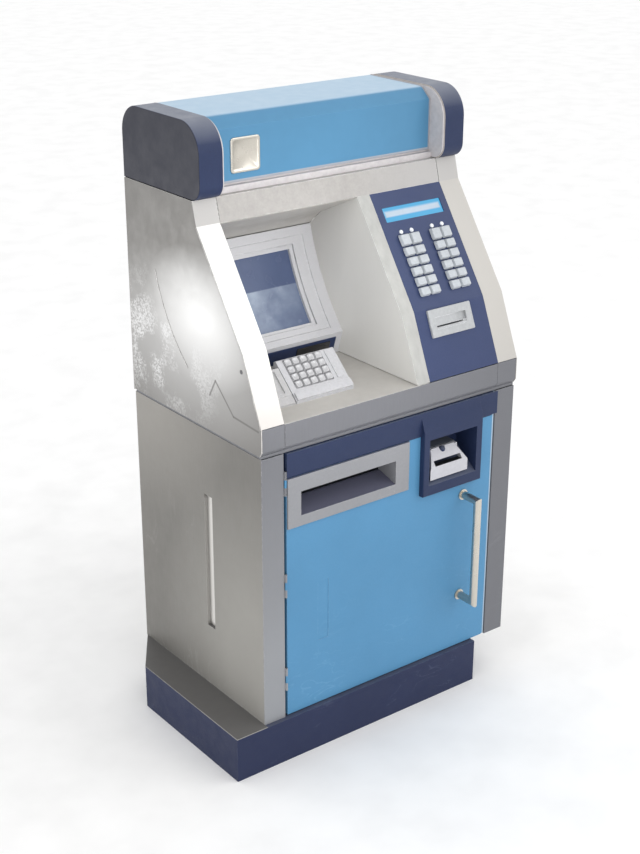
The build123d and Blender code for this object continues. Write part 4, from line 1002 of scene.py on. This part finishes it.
class CASHMACHINE_OT_control_panel(Piece, bpy.types.Operator):
    """Finishes the control panel and adds the lamps above its keys"""

    bl_idname = "cash_machine.control_panel"
    bl_label = "Control Panel"

    def execute(self, context):
        tones, edges = settings().colours, settings().edges
        columns = [f"key_column_{i}" for i in (1, 2, 3, 4)]
        panel = navy_finish("panel_navy", tones.panel_navy, 0.1, (500.0, 0.1))
        plate = key_finish("slot_white", srgb(170, 172, 174), 0.05, (0.34, 0.46))
        caps = key_finish("key_white", tones.key_white, 0.0, (0.25, 0.36))
        dress(panel, "control_panel", edge=edges.moulded)
        dress(plate, "slot_plate", edge=edges.moulded)
        dress(display_finish(), "display_window", edge=edges.fine)
        dress(caps, *columns, edge=edges.fine)
        dress(bpy.data.materials["tube_grey"], "receipt_printer")
        lens = lamp_finish()
        for number, column in enumerate(columns, 1):
            self.lamp(f"key_lamp_{number}", column, lens, settings().trim.lamp / 2)
        return DONE

    def lamp(self, name, column, lens, radius):
        """A domed lens just above a column of keys."""
        low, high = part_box(column)
        start = ((low.x + high.x) / 2 + 0.001, low.y - 0.4, high.z + 0.002)
        place = surface_frame("control_panel", start, INWARD)
        shape = turned_shape(dome_profile(radius, radius * 0.5, 0.0012))
        mesh_piece(name, shape, lens, "cabinet", place)


class CASHMACHINE_OT_front_door(Piece, bpy.types.Operator):
    """Finishes the front door, its strip, card slot, tray and handle"""

    bl_idname = "cash_machine.front_door"
    bl_label = "Front Door"

    def execute(self, context):
        tones, edges, made = settings().colours, settings().edges, bpy.data.materials
        navy = navy_finish("strip_paint", tones.navy, 0.3)
        dress(door_blue_finish(), "door_skin", edge=edges.folded)
        dress(navy, "fascia_strip", edge=edges.folded)
        dress(tray_finish(), "tray_bezel", edge=edges.folded)
        dress(door_edge_finish(), "door_frame", edge=edges.moulded)
        dress(made["lock_steel"], "door_latch", edge=edges.moulded)
        dress(nose_finish(), "card_nose", edge=edges.moulded)
        shutter = dull_finish("shutter_dark", srgb(11, 13, 20))
        dress(shutter, "tray_shutter", edge=edges.moulded)
        dress(made["tube_grey"], "card_reader")
        dress(made["satin_steel"], "door_handle")
        self.dome(navy, settings().trim.dome / 2)
        return DONE

    def dome(self, navy, radius):
        """A dome set in the notch at the top of the card nose."""
        low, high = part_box("card_nose")
        side = Vector(RIGHT)
        turn = Matrix((side, NOSE_LEAN.cross(side), NOSE_LEAN)).transposed().to_4x4()
        foot = Vector(((low.x + high.x) / 2 - 0.003, high.y - 0.009, high.z - 0.012))
        shape = turned_shape(dome_profile(radius, 0.006, 0.007))
        place = Matrix.Translation(foot) @ turn
        mesh_piece("nose_dome", shape, navy, "front_door", place)


class CASHMACHINE_OT_inside(Piece, bpy.types.Operator):
    """Finishes the safe, cassettes and housings inside the cabinet"""

    bl_idname = "cash_machine.inside"
    bl_label = "Inside"

    def execute(self, context):
        edge = settings().edges.moulded
        safe = dull_finish("safe_grey", settings().colours.module_grey, (0.4, 0.55), 0.3)
        dress(safe, "cash_safe", "safe_door", edge=edge)
        cassette = dull_finish("module_black", srgb(44, 46, 50))
        dress(cassette, "cassette_1", "cassette_2", edge=edge)
        housing = dull_finish("module_grey", srgb(150, 152, 154), metal=0.2)
        dress(housing, "cash_dispenser", "control_unit")
        dress(bpy.data.materials["lock_steel"], "panel_screws")
        return DONE


class CASHMACHINE_OT_stage(Piece, bpy.types.Operator):
    """Sets up the floor, the soft lights and the camera"""

    bl_idname = "cash_machine.stage"
    bl_label = "Studio"

    def execute(self, context):
        studio = settings().studio
        bpy.context.scene.view_settings.view_transform = "Standard"
        self.floor(studio)
        self.sky(studio)
        middle = (CAD_BOX[0] + CAD_BOX[1]) / 2
        self.light("key_light", (2.3, -2.7, 3.0), middle, 2.6, studio.key_light)
        self.light("fill_light", (-0.4, -3.4, 1.7), middle, 1.8, studio.fill_light)
        bay = Vector((-0.1, 0.05, 1.06))
        self.light("bay_light", (-0.8, -1.7, 1.5), bay, 0.45, studio.bay_light, spread=34)
        cheek = Vector((CAD_BOX[0].x, middle.y, middle.z + 0.3))
        self.light("side_light", (-1.35, 1.45, 0.75), cheek, 0.5, studio.side_light, spread=70)
        self.camera(studio)
        return DONE

    def floor(self, studio):
        shape = bmesh.new()
        bmesh.ops.create_circle(shape, cap_ends=True, radius=studio.floor_radius, segments=96)
        paint = Finish("floor_pale", studio.floor, rough=(0.8, 0.9), peel=(40.0, 0.0))
        mesh_object("floor", shape, paint.done())

    def sky(self, studio):
        world = bpy.data.worlds.new("studio")
        world.use_nodes = True
        bpy.context.scene.world = world
        graph = Graph(world.node_tree)
        back = world.node_tree.nodes["Background"]
        seen = graph.add("LightPath").outputs["Is Camera Ray"]
        graph.feed(back.inputs["Color"], (1, 1, 1))
        graph.feed(back.inputs["Strength"], graph.span(seen, 0.0, 1.0, studio.sky, 1.0))

    def light(self, name, place, target, size, watts, spread=180):
        """A square soft light that looks at a target."""
        data = bpy.data.lights.new(name, "AREA")
        data.energy = watts
        data.size = size
        data.spread = math.radians(spread)
        lamp = new_object(name, data)
        lamp.location = place
        lamp.rotation_euler = (target - Vector(place)).to_track_quat("-Z", "Y").to_euler()
        lamp.visible_camera = False

    def camera(self, studio):
        turn, tilt = studio.camera_turn, studio.camera_tilt
        ahead = Vector(
            (math.sin(turn) * math.cos(tilt), math.cos(turn) * math.cos(tilt), -math.sin(tilt))
        )
        right = Vector((math.cos(turn), -math.sin(turn), 0))
        up = right.cross(ahead)
        right = right * math.cos(studio.camera_roll) + up * math.sin(studio.camera_roll)
        up = right.cross(ahead)
        data = bpy.data.cameras.new("camera")
        data.lens = studio.lens
        data.sensor_width = 36
        camera = new_object("camera", data)
        turned = Matrix((right, up, -ahead)).transposed().to_4x4()
        camera.matrix_world = Matrix.Translation(studio.camera_place) @ turned
        bpy.context.scene.camera = camera


OPERATORS = (
    CASHMACHINE_OT_surface_groups,
    CASHMACHINE_OT_stage,
    CASHMACHINE_OT_cabinet,
    CASHMACHINE_OT_console,
    CASHMACHINE_OT_header,
    CASHMACHINE_OT_screen,
    CASHMACHINE_OT_keyboard,
    CASHMACHINE_OT_control_panel,
    CASHMACHINE_OT_front_door,
    CASHMACHINE_OT_inside,
)


class CASHMACHINE_PT_looks(bpy.types.Panel):
    """Lists the settings and the steps that build the looks"""

    bl_idname = "CASHMACHINE_PT_looks"
    bl_label = "Cash Machine"
    bl_space_type = "VIEW_3D"
    bl_region_type = "UI"
    bl_category = "Cash Machine"

    def draw(self, context):
        chosen = context.scene.cash_machine
        for part in (chosen.colours, chosen.edges, chosen.trim, chosen.studio):
            box = self.layout.box()
            for name in part.__annotations__:
                box.prop(part, name)
        for operator in OPERATORS:
            self.layout.operator(operator.bl_idname)


CLASSES = (
    FinishColours, EdgeSizes, TrimSizes, StudioSettings, CashMachineSettings,
    *OPERATORS, CASHMACHINE_PT_looks,
)


def register():
    for item in CLASSES:
        bpy.utils.register_class(item)
    bpy.types.Scene.cash_machine = PointerProperty(type=CashMachineSettings)


def unregister():
    del bpy.types.Scene.cash_machine
    for item in reversed(CLASSES):
        bpy.utils.unregister_class(item)


def main():
    register()
    for operator in OPERATORS:
        group, name = operator.bl_idname.split(".")
        getattr(getattr(bpy.ops, group), name)()


if __name__ == "__main__":
    main()
